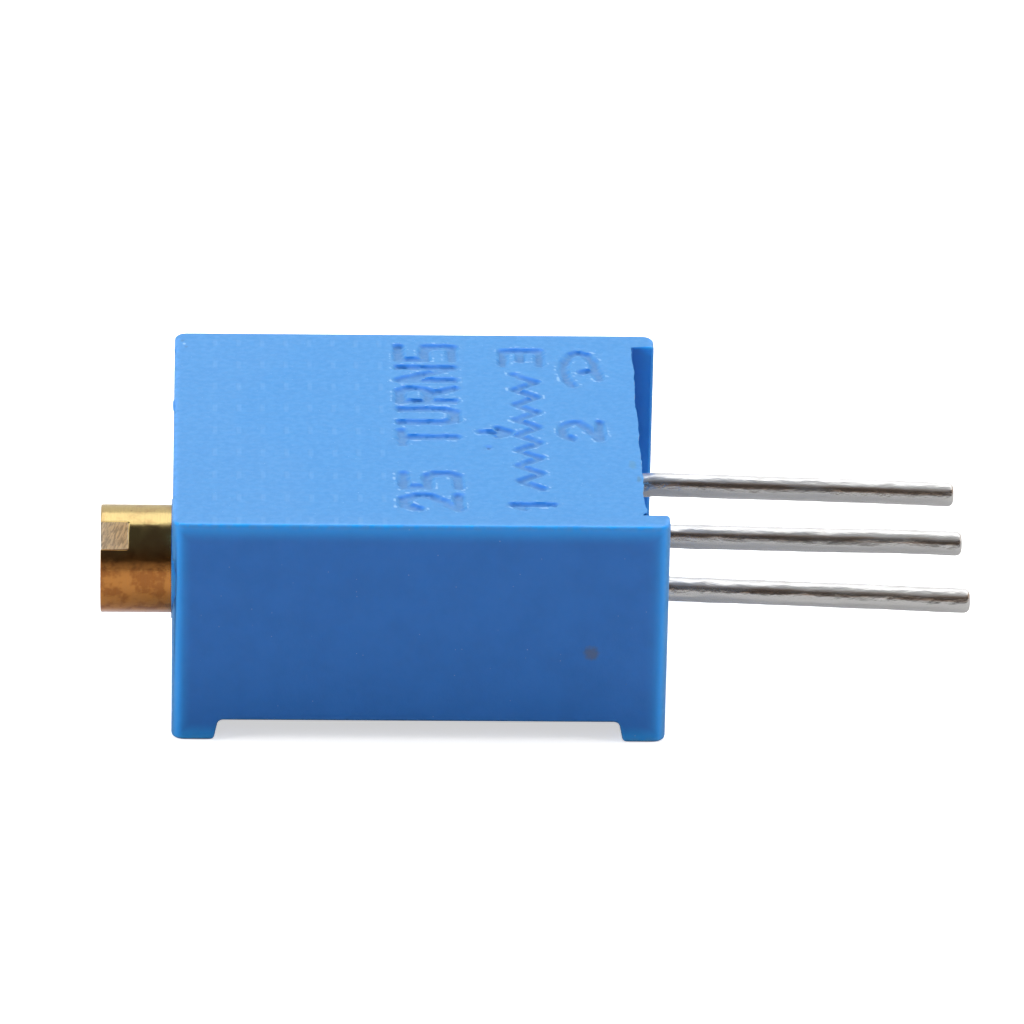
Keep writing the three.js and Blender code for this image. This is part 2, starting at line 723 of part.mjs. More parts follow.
// The print from one end of the track to its lead's pad; side is -1 or 1.
function makeTermination(side) {
  const { inner, outer, halfGap } = TRACK;
  const { narrow, gap, inset, stripWidth, leadWidth } = TERMINATION;
  const wide = halfGap - gap;
  const from = side > 0 ? narrow : -wide;
  const to = side > 0 ? wide : -narrow;
  const endY = side * PIN.pitch;
  const near = WHEEL.x + outer * Math.cos(narrow) - inset;
  const reachY = WHEEL.y + side * outer * Math.sin(narrow);
  const strip = rectangle(
    near, near + stripWidth, Math.min(reachY, endY), Math.max(reachY, endY));
  const lead = rectangle(near, PAD.x0 + RUN_IN, endY - leadWidth / 2, endY + leadWidth / 2);
  return join([
    film(ringSector(WHEEL.x, WHEEL.y, inner, outer, from, to)),
    film(strip),
    film(lead),
    film(padShape(endY)),
  ]);
}

// ------------------------------------------------------------------------------ leads

// A straight round lead along X with rounded ends, whose outer part hangs a little.
function makePin(y, droop) {
  const { radius, x0, x1, z, rootChamfer, tip, bendLength, bendSteps } = PIN;
  const free = x1 - POTTED_FACE;
  const bend = Array.from({ length: bendSteps + 1 }, (_, i) => [
    POTTED_FACE + (i * bendLength) / bendSteps,
    radius,
  ]);
  const profile = [
    [x0, 0],
    [x0, radius - rootChamfer],
    [x0 + rootChamfer, radius],
    ...bend,
    ...tip.map(([back, inwards]) => [x1 - back, radius - inwards]),
    [x1, 0],
  ];
  const points = profile.map(([x, r]) => new THREE.Vector2(r, x));
  const geometry = new THREE.LatheGeometry(points, SMALL_ROUND);
  geometry.rotateZ(-Math.PI / 2);
  const position = geometry.attributes.position;
  const slope = droop / (free - bendLength / 2);
  for (let i = 0; i < position.count; i++) {
    const out = Math.max(0, position.getX(i) - POTTED_FACE);
    const eased = out < bendLength ? (out * out) / (2 * bendLength) : out - bendLength / 2;
    position.setZ(i, position.getZ(i) - slope * eased);
  }
  geometry.translate(0, y, z);
  return solidOf(geometry);
}

// A fillet of solder over a lead and its pad.
function makeSolder(y) {
  const { x, length, width, height, gap } = SOLDER;
  const geometry = new THREE.SphereGeometry(1, SMALL_ROUND, 8);
  geometry.rotateZ(Math.PI / 2);
  geometry.scale(length, width, height);
  geometry.translate(x, y, PIN.z);
  return cut(solidOf(geometry), [
    box(0, CASE.length, y - 1, y + 1, 0, ELEMENT.top + FILM + gap / 2),
    rodX(PIN.radius + gap, PIN.x0 - gap, CASE.length, y, PIN.z, SMALL_ROUND),
  ]);
}

// The resin that seals the back of the case and the notches round the leads.
function makeResin() {
  const { z0, gap, leadGap, overlap } = RESIN;
  const { x0, x1, halfWidth } = CAVITY;
  const bed = box(x0 + gap, x1 - gap, gap - halfWidth, halfWidth - gap,
    z0, ELEMENT.top - ELEMENT.thickness - gap);
  const plugs = pinPlaces.map((y) =>
    notch(y, NOTCH.halfWidth - gap, x1 - overlap, POTTED_FACE - gap, z0));
  return cut(join([bed, ...plugs]), pinPlaces.map((y) =>
    rodX(PIN.radius + leadGap, PIN.x0, CASE.length, y, PIN.z, SMALL_ROUND)));
}

// --------------------------------------------------------------------------- assembly

const trimmer = new THREE.Group();

function place(name, solid, material) {
  const mesh = new THREE.Mesh(geometryOf(solid), material);
  mesh.name = name;
  trimmer.add(mesh);
}

place("case", makeCase(), MATERIALS.caseBlue);
place("adjusting_screw", makeScrew(), MATERIALS.brass);
place("screw_seal_ring", makeRing(), MATERIALS.silicone);
place("screw_retaining_clip", makeClip(), MATERIALS.bronze);
place("worm_wheel", makeWheel(), MATERIALS.nylon);
place("wiper_spring", makeWiper(), MATERIALS.bronze);
place("ceramic_element", makeElement(), MATERIALS.ceramic);
place("resistive_track", makeTrack(), MATERIALS.cermet);
place("collector_print", makeCollector(), MATERIALS.silverPrint);
place("termination_1", makeTermination(-1), MATERIALS.silverPrint);
place("termination_3", makeTermination(1), MATERIALS.silverPrint);
pinPlaces.forEach((y, i) => {
  place("lead_" + (i + 1), makePin(y, PIN.droop[i]), MATERIALS.tinned);
  place("solder_" + (i + 1), makeSolder(y), MATERIALS.solder);
});
place("sealing_resin", makeResin(), MATERIALS.resin);

// The origin is under the middle of the whole part.
trimmer.position.x = -(SCREW.tip + PIN.x1) / 2;

export default trimmer;
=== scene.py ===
"""Looks of a multi-turn trimmer potentiometer that lies on its back.

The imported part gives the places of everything. The moulded case, the brass adjusting
screw, the three tinned leads and the sealing resin are modelled again here with their
rounded edges and worked surfaces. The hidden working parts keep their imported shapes.
"""

import logging
import math
from collections.abc import Callable, Iterable, Sequence
from dataclasses import dataclass, field
from enum import Enum
from itertools import pairwise
from typing import Any

import bmesh
import bpy
import numpy as np
from mathutils import Matrix, Vector, noise


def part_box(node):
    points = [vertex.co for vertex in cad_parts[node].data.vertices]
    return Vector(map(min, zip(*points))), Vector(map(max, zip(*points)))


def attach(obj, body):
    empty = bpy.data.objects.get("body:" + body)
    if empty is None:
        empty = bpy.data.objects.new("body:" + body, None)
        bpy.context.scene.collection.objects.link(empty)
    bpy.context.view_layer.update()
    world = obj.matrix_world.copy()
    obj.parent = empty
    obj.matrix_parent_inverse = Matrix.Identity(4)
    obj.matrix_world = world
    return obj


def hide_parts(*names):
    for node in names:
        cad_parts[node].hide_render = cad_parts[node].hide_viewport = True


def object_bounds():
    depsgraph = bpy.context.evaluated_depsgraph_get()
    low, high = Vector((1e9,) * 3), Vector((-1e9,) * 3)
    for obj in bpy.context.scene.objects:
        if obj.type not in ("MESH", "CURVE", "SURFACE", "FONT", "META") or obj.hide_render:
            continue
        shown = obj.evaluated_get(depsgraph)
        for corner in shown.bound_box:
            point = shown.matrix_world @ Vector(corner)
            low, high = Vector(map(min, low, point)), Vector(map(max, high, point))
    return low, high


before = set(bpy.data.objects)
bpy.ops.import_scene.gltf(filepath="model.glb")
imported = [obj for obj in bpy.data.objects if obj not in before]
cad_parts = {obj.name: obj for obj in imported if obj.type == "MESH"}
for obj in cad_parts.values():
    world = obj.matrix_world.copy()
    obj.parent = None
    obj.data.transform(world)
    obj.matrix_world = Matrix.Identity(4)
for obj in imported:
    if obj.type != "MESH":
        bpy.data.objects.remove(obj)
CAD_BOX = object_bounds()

log = logging.getLogger("trimmer")

MM = 0.001
BODY = "body"
SCREW_BODY = "screw"

Point = tuple[float, float, float]
Colour = tuple[float, float, float]
Socket = bpy.types.NodeSocket
Piece = bpy.types.Object


# --------------------------------------------------------------------------- modelling


class Element(Enum):
    """What a selection in edit mode is made of."""

    VERTEX = "VERT"
    EDGE = "EDGE"
    FACE = "FACE"


class Join(Enum):
    """What a second solid does to the first."""

    CUT = "DIFFERENCE"
    ADD = "UNION"


def clear_selection() -> None:
    """Leaves edit mode and deselects every object."""
    if bpy.context.mode != "OBJECT":
        bpy.ops.object.mode_set(mode="OBJECT")
    bpy.ops.object.select_all(action="DESELECT")


def activate(piece: Piece) -> None:
    """Makes one object the only selected and active one."""
    clear_selection()
    piece.select_set(True)
    bpy.context.view_layer.objects.active = piece


def settle(name: str) -> Piece:
    """Names the object just added and moves its place and scale into its mesh.

    Args:
        name: The object's new name.

    Returns:
        The object.
    """
    made = bpy.context.object
    made.name = name
    made.data.name = name
    bpy.ops.object.transform_apply(location=True, rotation=True, scale=True)
    return made


def box(name: str, low: Point, high: Point) -> Piece:
    """Adds a block between two corners, in millimetres of the case's frame.

    Args:
        name: The block's name.
        low: Its lowest corner.
        high: Its highest corner.

    Returns:
        The block.
    """
    clear_selection()
    start, end = Vector(low), Vector(high)
    bpy.ops.mesh.primitive_cube_add(size=1.0, location=(start + end) / 2)
    bpy.context.object.scale = end - start
    return settle(name)


def rod(name: str, radius: float, start: Point, end: Point, sides: int = 48) -> Piece:
    """Adds a cylinder between two points.

    Args:
        name: The cylinder's name.
        radius: Its radius.
        start: The middle of one end.
        end: The middle of the other end.
        sides: How many faces go round it.

    Returns:
        The cylinder.
    """
    clear_selection()
    a, b = Vector(start), Vector(end)
    turn = (b - a).to_track_quat("Z", "Y").to_euler()
    bpy.ops.mesh.primitive_cylinder_add(
        vertices=sides, radius=radius, depth=(b - a).length, location=(a + b) / 2, rotation=turn
    )
    return settle(name)


def select(piece: Piece, kind: Element, chosen: Callable[[Any], bool]) -> None:
    """Enters edit mode and selects the elements that pass a test.

    Args:
        piece: The object to edit.
        kind: Vertices, edges or faces.
        chosen: The test, given each element.
    """
    activate(piece)
    bpy.ops.object.mode_set(mode="EDIT")
    bpy.ops.mesh.select_mode(type=kind.value)
    bpy.ops.mesh.select_all(action="DESELECT")
    mesh = bmesh.from_edit_mesh(piece.data)
    elements = {Element.VERTEX: mesh.verts, Element.EDGE: mesh.edges, Element.FACE: mesh.faces}
    for element in elements[kind]:
        if chosen(element):
            element.select_set(True)
    bmesh.update_edit_mesh(piece.data)


def middle(edge: bmesh.types.BMEdge) -> Vector:
    """The middle of an edge."""
    return (edge.verts[0].co + edge.verts[1].co) / 2


def runs_along(edge: bmesh.types.BMEdge, axis: int) -> bool:
    """Whether an edge runs along one axis: 0 for X, 1 for Y, 2 for Z."""
    way = (edge.verts[1].co - edge.verts[0].co).normalized()
    return abs(way[axis]) > 0.999


def round_edges(piece: Piece, chosen: Callable[[Any], bool], radius: float, segments: int) -> None:
    """Rounds chosen edges in edit mode.

    Args:
        piece: The object.
        chosen: The test that an edge to round passes.
        radius: How far the rounding reaches from the edge.
        segments: How many faces make the rounding.
    """
    select(piece, Element.EDGE, chosen)
    bpy.ops.mesh.bevel(offset=radius, segments=segments, affect="EDGES")
    clear_selection()


def combine(target: Piece, tool: Piece, how: Join) -> None:
    """Joins a second solid to a first or cuts it away, and removes the second.

    Args:
        target: The solid that stays.
        tool: The solid that is used up.
        how: Whether it cuts or adds.
    """
    activate(target)
    modifier = target.modifiers.new("combine", "BOOLEAN")
    modifier.operation = how.value
    modifier.object = tool
    modifier.solver = "EXACT"
    bpy.ops.object.modifier_apply(modifier=modifier.name)
    bpy.data.objects.remove(tool)


def cut_all(target: Piece, tools: Iterable[Piece]) -> None:
    """Cuts several solids out of one."""
    for tool in tools:
        combine(target, tool, Join.CUT)


def copy_of(piece: Piece, name: str, move: Point = (0.0, 0.0, 0.0)) -> Piece:
    """Copies an object with a mesh of its own.

    Args:
        piece: The object to copy.
        name: The copy's name.
        move: How far the copy's mesh is moved.

    Returns:
        The copy.
    """
    made = piece.copy()
    made.data = piece.data.copy()
    made.name = name
    made.data.name = name
    bpy.context.scene.collection.objects.link(made)
    made.data.transform(Matrix.Translation(move))
    return made


def soften(piece: Piece, width: float, angle: float, segments: int = 2) -> None:
    """Rounds every edge sharper than an angle.

    Args:
        piece: The object.
        width: The width of the rounding.
        angle: The least angle between two faces, in degrees.
        segments: How many faces make the rounding.
    """
    activate(piece)
    modifier = piece.modifiers.new("soften", "BEVEL")
    modifier.width = width
    modifier.segments = segments
    modifier.limit_method = "ANGLE"
    modifier.angle_limit = math.radians(angle)
    modifier.use_clamp_overlap = False
    modifier.miter_outer = "MITER_ARC"
    bpy.ops.object.modifier_apply(modifier=modifier.name)


def tidy_mesh(piece: Piece, distance: float = 2e-4) -> None:
    """Merges doubled vertices and turns the faces outwards.

    Args:
        piece: The object.
        distance: How close two vertices are to be one, in millimetres.
    """
    activate(piece)
    bpy.ops.object.mode_set(mode="EDIT")
    bpy.ops.mesh.select_all(action="SELECT")
    bpy.ops.mesh.remove_doubles(threshold=distance)
    bpy.ops.mesh.normals_make_consistent(inside=False)
    clear_selection()


def flatten(piece: Piece) -> None:
    """Joins the faces that lie in one plane, so that later cuts leave no slivers."""
    select(piece, Element.FACE, lambda face: True)
    bpy.ops.mesh.dissolve_limited(angle_limit=math.radians(0.4))
    clear_selection()


def shade(piece: Piece, angle: float) -> None:
    """Shades a piece smooth over edges flatter than an angle, its large faces staying flat.

    Args:
        piece: The object.
        angle: The angle in degrees.
    """
    activate(piece)
    bpy.ops.object.shade_smooth_by_angle(angle=math.radians(angle))
    modifier = piece.modifiers.new("flat_faces", "WEIGHTED_NORMAL")
    modifier.keep_sharp = True
    bpy.ops.object.modifier_apply(modifier=modifier.name)


def case_origin() -> Vector:
    """Where the case's screw face, mid-plane and feet meet, in metres."""
    low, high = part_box("case")
    return Vector((low.x, (low.y + high.y) / 2, low.z))


def deliver(piece: Piece, body: str, nodes: Sequence[str]) -> None:
    """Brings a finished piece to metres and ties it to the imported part.

    Args:
        piece: The piece, modelled in millimetres of the case's frame.
        body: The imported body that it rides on.
        nodes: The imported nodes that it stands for.
    """
    activate(piece)
    piece.scale = (MM, MM, MM)
    piece.location = case_origin()
    bpy.ops.object.transform_apply(location=True, rotation=True, scale=True)
    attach(piece, body)
    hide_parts(*nodes)
    log.info("%s: %d faces on %s", piece.name, len(piece.data.polygons), body)


@dataclass(frozen=True)
class Station:
    """One ring of a turned or drawn bar: how far along, how thick, how far off its line."""

    along: float
    radius: float
    aside: float = 0.0
    rise: float = 0.0


def turned(name: str, stations: Sequence[Station], y: float, z: float, sides: int) -> Piece:
    """Makes a round bar along X by extruding a disc from ring to ring.

    Args:
        name: The bar's name.
        stations: Its rings, from the lowest x to the highest.
        y: The line of its middle.
        z: The line of its middle.
        sides: How many faces go round it.

    Returns:
        The bar, closed at both ends.
    """
    clear_selection()
    first = stations[0]
    bpy.ops.mesh.primitive_circle_add(
        vertices=sides,
        radius=first.radius,
        fill_type="NGON",
        location=(first.along, y + first.aside, z + first.rise),
        rotation=(0, -math.pi / 2, 0),
    )
    made = settle(name)
    bpy.ops.object.mode_set(mode="EDIT")
    bpy.ops.mesh.select_mode(type="FACE")
    bpy.ops.mesh.select_all(action="SELECT")
    for before, here in pairwise(stations):
        step = (here.along - before.along, here.aside - before.aside, here.rise - before.rise)
        bpy.ops.mesh.extrude_region_move(TRANSFORM_OT_translate={"value": step})
        ratio = here.radius / before.radius
        bpy.ops.transform.resize(
            value=(1, ratio, ratio), center_override=(here.along, y + here.aside, z + here.rise)
        )
    clear_selection()
    tidy_mesh(made)
    return made


# ------------------------------------------------------------------------ shader recipes


class Recipe:
    """A node tree being filled in, either a material's or a group's."""

    def __init__(self, tree: bpy.types.NodeTree) -> None:
        """Starts with an empty tree."""
        self.tree = tree
        tree.nodes.clear()

    def node(self, kind: str, **settings: Any) -> bpy.types.Node:
        """Adds a node.

        Args:
            kind: The node's type.
            settings: Its properties.

        Returns:
            The node.
        """
        made = self.tree.nodes.new(kind)
        for name, value in settings.items():
            setattr(made, name, value)
        return made

    def feed(self, node: bpy.types.Node, **inputs: Any) -> bpy.types.Node:
        """Links or sets a node's inputs, named with underscores for spaces.

        Args:
            node: The node.
            inputs: For each input a socket, a number or a colour.

        Returns:
            The node.
        """
        for name, value in inputs.items():
            self.put(node.inputs[name.replace("_", " ")], value)
        return node

    def put(self, socket: Socket, value: Any) -> None:
        """Links a socket to an input, or sets it to a value."""
        if isinstance(value, bpy.types.NodeSocket):
            self.tree.links.new(value, socket)
        elif socket.type == "RGBA" and len(value) == 3:
            socket.default_value = (*value, 1.0)
        else:
            socket.default_value = value

    def math(self, operation: str, *values: Any, clamp: bool = False) -> Socket:
        """A sum, product or comparison of sockets and numbers.

        Args:
            operation: The Math node's operation.
            values: Its inputs.
            clamp: Whether the result stays from 0 to 1.

        Returns:
            The result's socket.
        """
        made = self.node("ShaderNodeMath", operation=operation, use_clamp=clamp)
        for socket, value in zip(made.inputs, values):
            self.put(socket, value)
        return made.outputs[0]

    def noise(self, vector: Socket, scale: Any, detail: float = 3.0, rough: float = 0.55) -> Socket:
        """Smooth noise over the surface, about one half on average."""
        made = self.node("ShaderNodeTexNoise")
        self.feed(made, Vector=vector, Scale=scale, Detail=detail, Roughness=rough)
        return made.outputs["Fac"]

    def span(self, value: Socket, low: Any, high: Any, to_low: float = 0.0, to_high: float = 1.0) -> Socket:
        """Maps a value from one range to another, clamped and eased."""
        made = self.node("ShaderNodeMapRange", interpolation_type="SMOOTHSTEP")
        self.put(made.inputs["Value"], value)
        self.put(made.inputs["From Min"], low)
        self.put(made.inputs["From Max"], high)
        self.put(made.inputs["To Min"], to_low)
        self.put(made.inputs["To Max"], to_high)
        return made.outputs["Result"]

    def blend(self, share: Any, first: Any, second: Any) -> Socket:
        """Mixes two colours."""
        made = self.node("ShaderNodeMix", data_type="RGBA")
        self.put(made.inputs["Factor"], share)
        colours = [s for s in made.inputs if s.type == "RGBA"]
        self.put(colours[0], first)
        self.put(colours[1], second)
        return [s for s in made.outputs if s.type == "RGBA"][0]

    def choose(self, share: Socket, first: Socket, second: Socket) -> Socket:
        """Mixes two shaders."""
        made = self.node("ShaderNodeMixShader")
        for socket, value in zip(made.inputs, (share, first, second)):
            self.put(socket, value)
        return made.outputs[0]

    def apart(self, vector: Socket) -> tuple[Socket, Socket, Socket]:
        """The three parts of a vector."""
        made = self.feed(self.node("ShaderNodeSeparateXYZ"), Vector=vector)
        return made.outputs["X"], made.outputs["Y"], made.outputs["Z"]

    def stretch(self, vector: Socket, scale: Point, move: Point = (0, 0, 0)) -> Socket:
        """A vector moved and then scaled along each axis."""
        made = self.node("ShaderNodeMapping", vector_type="POINT")
        self.feed(made, Vector=vector, Scale=scale, Location=move)
        return made.outputs["Vector"]


class Effect(Enum):
    """The surface effects that several finishes share."""

    MOTTLE = "mottle"
    GRAIN = "grain"
    SPECKS = "specks"
    STREAKS = "streaks"
    EDGE_BAND = "edge_band"


@dataclass(frozen=True)
class Port:
    """A named input or output of an effect."""

    name: str
    kind: str
    output: bool = False


def number(name: str) -> Port:
    """A number going into an effect."""
    return Port(name, "NodeSocketFloat")


def vector(name: str) -> Port:
    """A vector going into an effect."""
    return Port(name, "NodeSocketVector")


def colour(name: str) -> Port:
    """A colour going into an effect."""
    return Port(name, "NodeSocketColor")


class Effects:
    """Builds each shared effect once, as a node group with named sockets."""

    def __init__(self) -> None:
        """Starts with no group built."""
        self.built: dict[Effect, bpy.types.NodeTree] = {}

    def group(self, effect: Effect) -> bpy.types.NodeTree:
        """The node group of an effect, built the first time it is asked for."""
        if effect not in self.built:
            makers = {
                Effect.MOTTLE: self.mottle,
                Effect.GRAIN: self.grain,
                Effect.SPECKS: self.specks,
                Effect.STREAKS: self.streaks,
                Effect.EDGE_BAND: self.edge_band,
            }
            self.built[effect] = makers[effect]()
        return self.built[effect]

    def start(self, effect: Effect, ports: Sequence[Port]) -> tuple[Recipe, Any, Any]:
        """Opens a new group with its sockets.

        Args:
            effect: The effect.
            ports: Its inputs and outputs.

        Returns:
            The recipe, the group's input node and its output node.
        """
        tree = bpy.data.node_groups.new(effect.value, "ShaderNodeTree")
        for port in ports:
            way = "OUTPUT" if port.output else "INPUT"
            tree.interface.new_socket(name=port.name, in_out=way, socket_type=port.kind)
        recipe = Recipe(tree)
        return recipe, recipe.node("NodeGroupInput"), recipe.node("NodeGroupOutput")

    def mottle(self) -> bpy.types.NodeTree:
        """Two colours mixed in soft patches of a given size."""
        ports = [vector("Vector"), colour("Base"), colour("Patch"), number("Scale"), number("Low"),
                 number("High"), Port("Color", "NodeSocketColor", True),
                 Port("Mask", "NodeSocketFloat", True)]
        r, given, result = self.start(Effect.MOTTLE, ports)
        cloud = r.noise(given.outputs["Vector"], given.outputs["Scale"], 4.0, 0.6)
        mask = r.span(cloud, given.outputs["Low"], given.outputs["High"])
        r.feed(result, Color=r.blend(mask, given.outputs["Base"], given.outputs["Patch"]), Mask=mask)
        return r.tree

    def grain(self) -> bpy.types.NodeTree:
        """A height made of fine and coarse unevenness."""
        ports = [vector("Vector"), number("Fine"), number("Coarse"), number("Share"),
                 Port("Height", "NodeSocketFloat", True)]
        r, given, result = self.start(Effect.GRAIN, ports)
        fine = r.noise(given.outputs["Vector"], given.outputs["Fine"], 3.0, 0.6)
        coarse = r.noise(given.outputs["Vector"], given.outputs["Coarse"], 2.0, 0.5)
        weighted = r.math("MULTIPLY", fine, given.outputs["Share"])
        r.feed(result, Height=r.math("ADD", coarse, weighted))
        return r.tree

    def specks(self) -> bpy.types.NodeTree:
        """Small scattered dots, some of them left out."""
        ports = [vector("Vector"), number("Scale"), number("Size"), number("Share"),
                 Port("Mask", "NodeSocketFloat", True)]
        r, given, result = self.start(Effect.SPECKS, ports)
        cells = r.node("ShaderNodeTexVoronoi")
        r.feed(cells, Vector=given.outputs["Vector"], Scale=given.outputs["Scale"])
        half = r.math("MULTIPLY", given.outputs["Size"], 0.5)
        dots = r.span(cells.outputs["Distance"], given.outputs["Size"], half)
        chance, _, _ = r.apart(cells.outputs["Color"])
        kept = r.math("LESS_THAN", chance, given.outputs["Share"])
        r.feed(result, Mask=r.math("MULTIPLY", dots, kept))
        return r.tree

    def streaks(self) -> bpy.types.NodeTree:
        """Noise drawn out along one way, as tool marks or drawn metal."""
        ports = [vector("Vector"), vector("Stretch"), number("Scale"), number("Low"), number("High"),
                 Port("Mask", "NodeSocketFloat", True)]
        r, given, result = self.start(Effect.STREAKS, ports)
        drawn = r.node("ShaderNodeVectorMath", operation="MULTIPLY")
        r.put(drawn.inputs[0], given.outputs["Vector"])
        r.put(drawn.inputs[1], given.outputs["Stretch"])
        lines = r.noise(drawn.outputs["Vector"], given.outputs["Scale"], 4.0, 0.65)
        r.feed(result, Mask=r.span(lines, given.outputs["Low"], given.outputs["High"]))
        return r.tree

    def edge_band(self) -> bpy.types.NodeTree:
        """A mask along the edges of a block: where two of its faces are near."""
        ports = [vector("Vector"), vector("Centre"), vector("Half"), number("Width"),
                 Port("Mask", "NodeSocketFloat", True)]
        r, given, result = self.start(Effect.EDGE_BAND, ports)
        offset = r.node("ShaderNodeVectorMath", operation="SUBTRACT")
        r.put(offset.inputs[0], given.outputs["Vector"])
        r.put(offset.inputs[1], given.outputs["Centre"])
        size = r.node("ShaderNodeVectorMath", operation="ABSOLUTE")
        r.put(size.inputs[0], offset.outputs["Vector"])
        depth = r.node("ShaderNodeVectorMath", operation="SUBTRACT")
        r.put(depth.inputs[0], given.outputs["Half"])
        r.put(depth.inputs[1], size.outputs["Vector"])
        near = [r.span(part, given.outputs["Width"], 0.0) for part in r.apart(depth.outputs["Vector"])]
        pairs = [r.math("MULTIPLY", near[i], near[(i + 1) % 3]) for i in range(3)]
        r.feed(result, Mask=r.math("MAXIMUM", pairs[0], r.math("MAXIMUM", pairs[1], pairs[2])))
        return r.tree


EFFECTS = Effects()


class Finish(Recipe):
    """A material being made: a Principled shader and the patterns that feed it."""

    def __init__(self, name: str) -> None:
        """Starts a material with its shader, its output and coordinates in millimetres."""
        self.material = bpy.data.materials.new(name)
        self.material.use_nodes = True
        super().__init__(self.material.node_tree)
        self.shader = self.node("ShaderNodeBsdfPrincipled")
        output = self.node("ShaderNodeOutputMaterial")
        self.tree.links.new(self.shader.outputs["BSDF"], output.inputs["Surface"])
        where = self.node("ShaderNodeTexCoord").outputs["Object"]
        origin = case_origin() / MM
        self.place = self.stretch(where, (1 / MM,) * 3, tuple(-origin))

    def effect(self, effect: Effect, **inputs: Any) -> bpy.types.Node:
        """Places a shared effect with this material's own values.

        Args:
            effect: The effect.
            inputs: Its values, named with underscores for spaces.

        Returns:
            The group's node.
        """
        made = self.node("ShaderNodeGroup")
        made.node_tree = EFFECTS.group(effect)
        inputs.setdefault("Vector", self.place)
        return self.feed(made, **inputs)

    def bump(self, height: Any, distance: float, strength: float = 1.0) -> None:
        """Raises the surface by a height pattern.

        Args:
            height: The pattern's socket.
            distance: What a height of one stands for, in millimetres.
            strength: How strongly it shows.
        """
        made = self.node("ShaderNodeBump")
        self.feed(made, Height=height, Distance=distance * MM, Strength=strength)
        self.feed(self.shader, Normal=made.outputs["Normal"])

    def set(self, **values: Any) -> None:
        """Sets or links the shader's own inputs, named with underscores for spaces."""
        self.feed(self.shader, **values)


# ------------------------------------------------------------------------------ finishes


@dataclass(frozen=True)
class Blot:
    """A small spot painted on the case: most are stains; a few lay painted shade and highlight into a pit
    and a nick.
    """

    place: Point
    radius: float
    colour: Colour
    strength: float
    long: float = 1.0


BLOTS = [
    Blot((8.49, -4.765, 2.0), 0.17, (0.10, 0.14, 0.24), 0.75),
    # painted shade: darkens the pit in the front
    Blot((6.45, -0.94, 4.80), 0.05, (0.035, 0.10, 0.28), 0.8),
    Blot((9.36, -1.75, 4.83), 0.085, (0.07, 0.20, 0.33), 0.55, 3.0),
    Blot((9.47, -2.45, 4.83), 0.05, (0.06, 0.15, 0.24), 0.6, 3.5),
    # painted shade and a painted highlight: a nick at the corner of the front
    Blot((0.16, 4.32, 4.83), 0.045, (0.05, 0.15, 0.34), 0.7, 1.5),
    Blot((0.24, 4.02, 4.83), 0.045, (0.05, 0.15, 0.34), 0.7, 1.5),
    Blot((0.20, 4.17, 4.83), 0.04, (0.35, 0.50, 0.70), 0.7, 1.5),
]


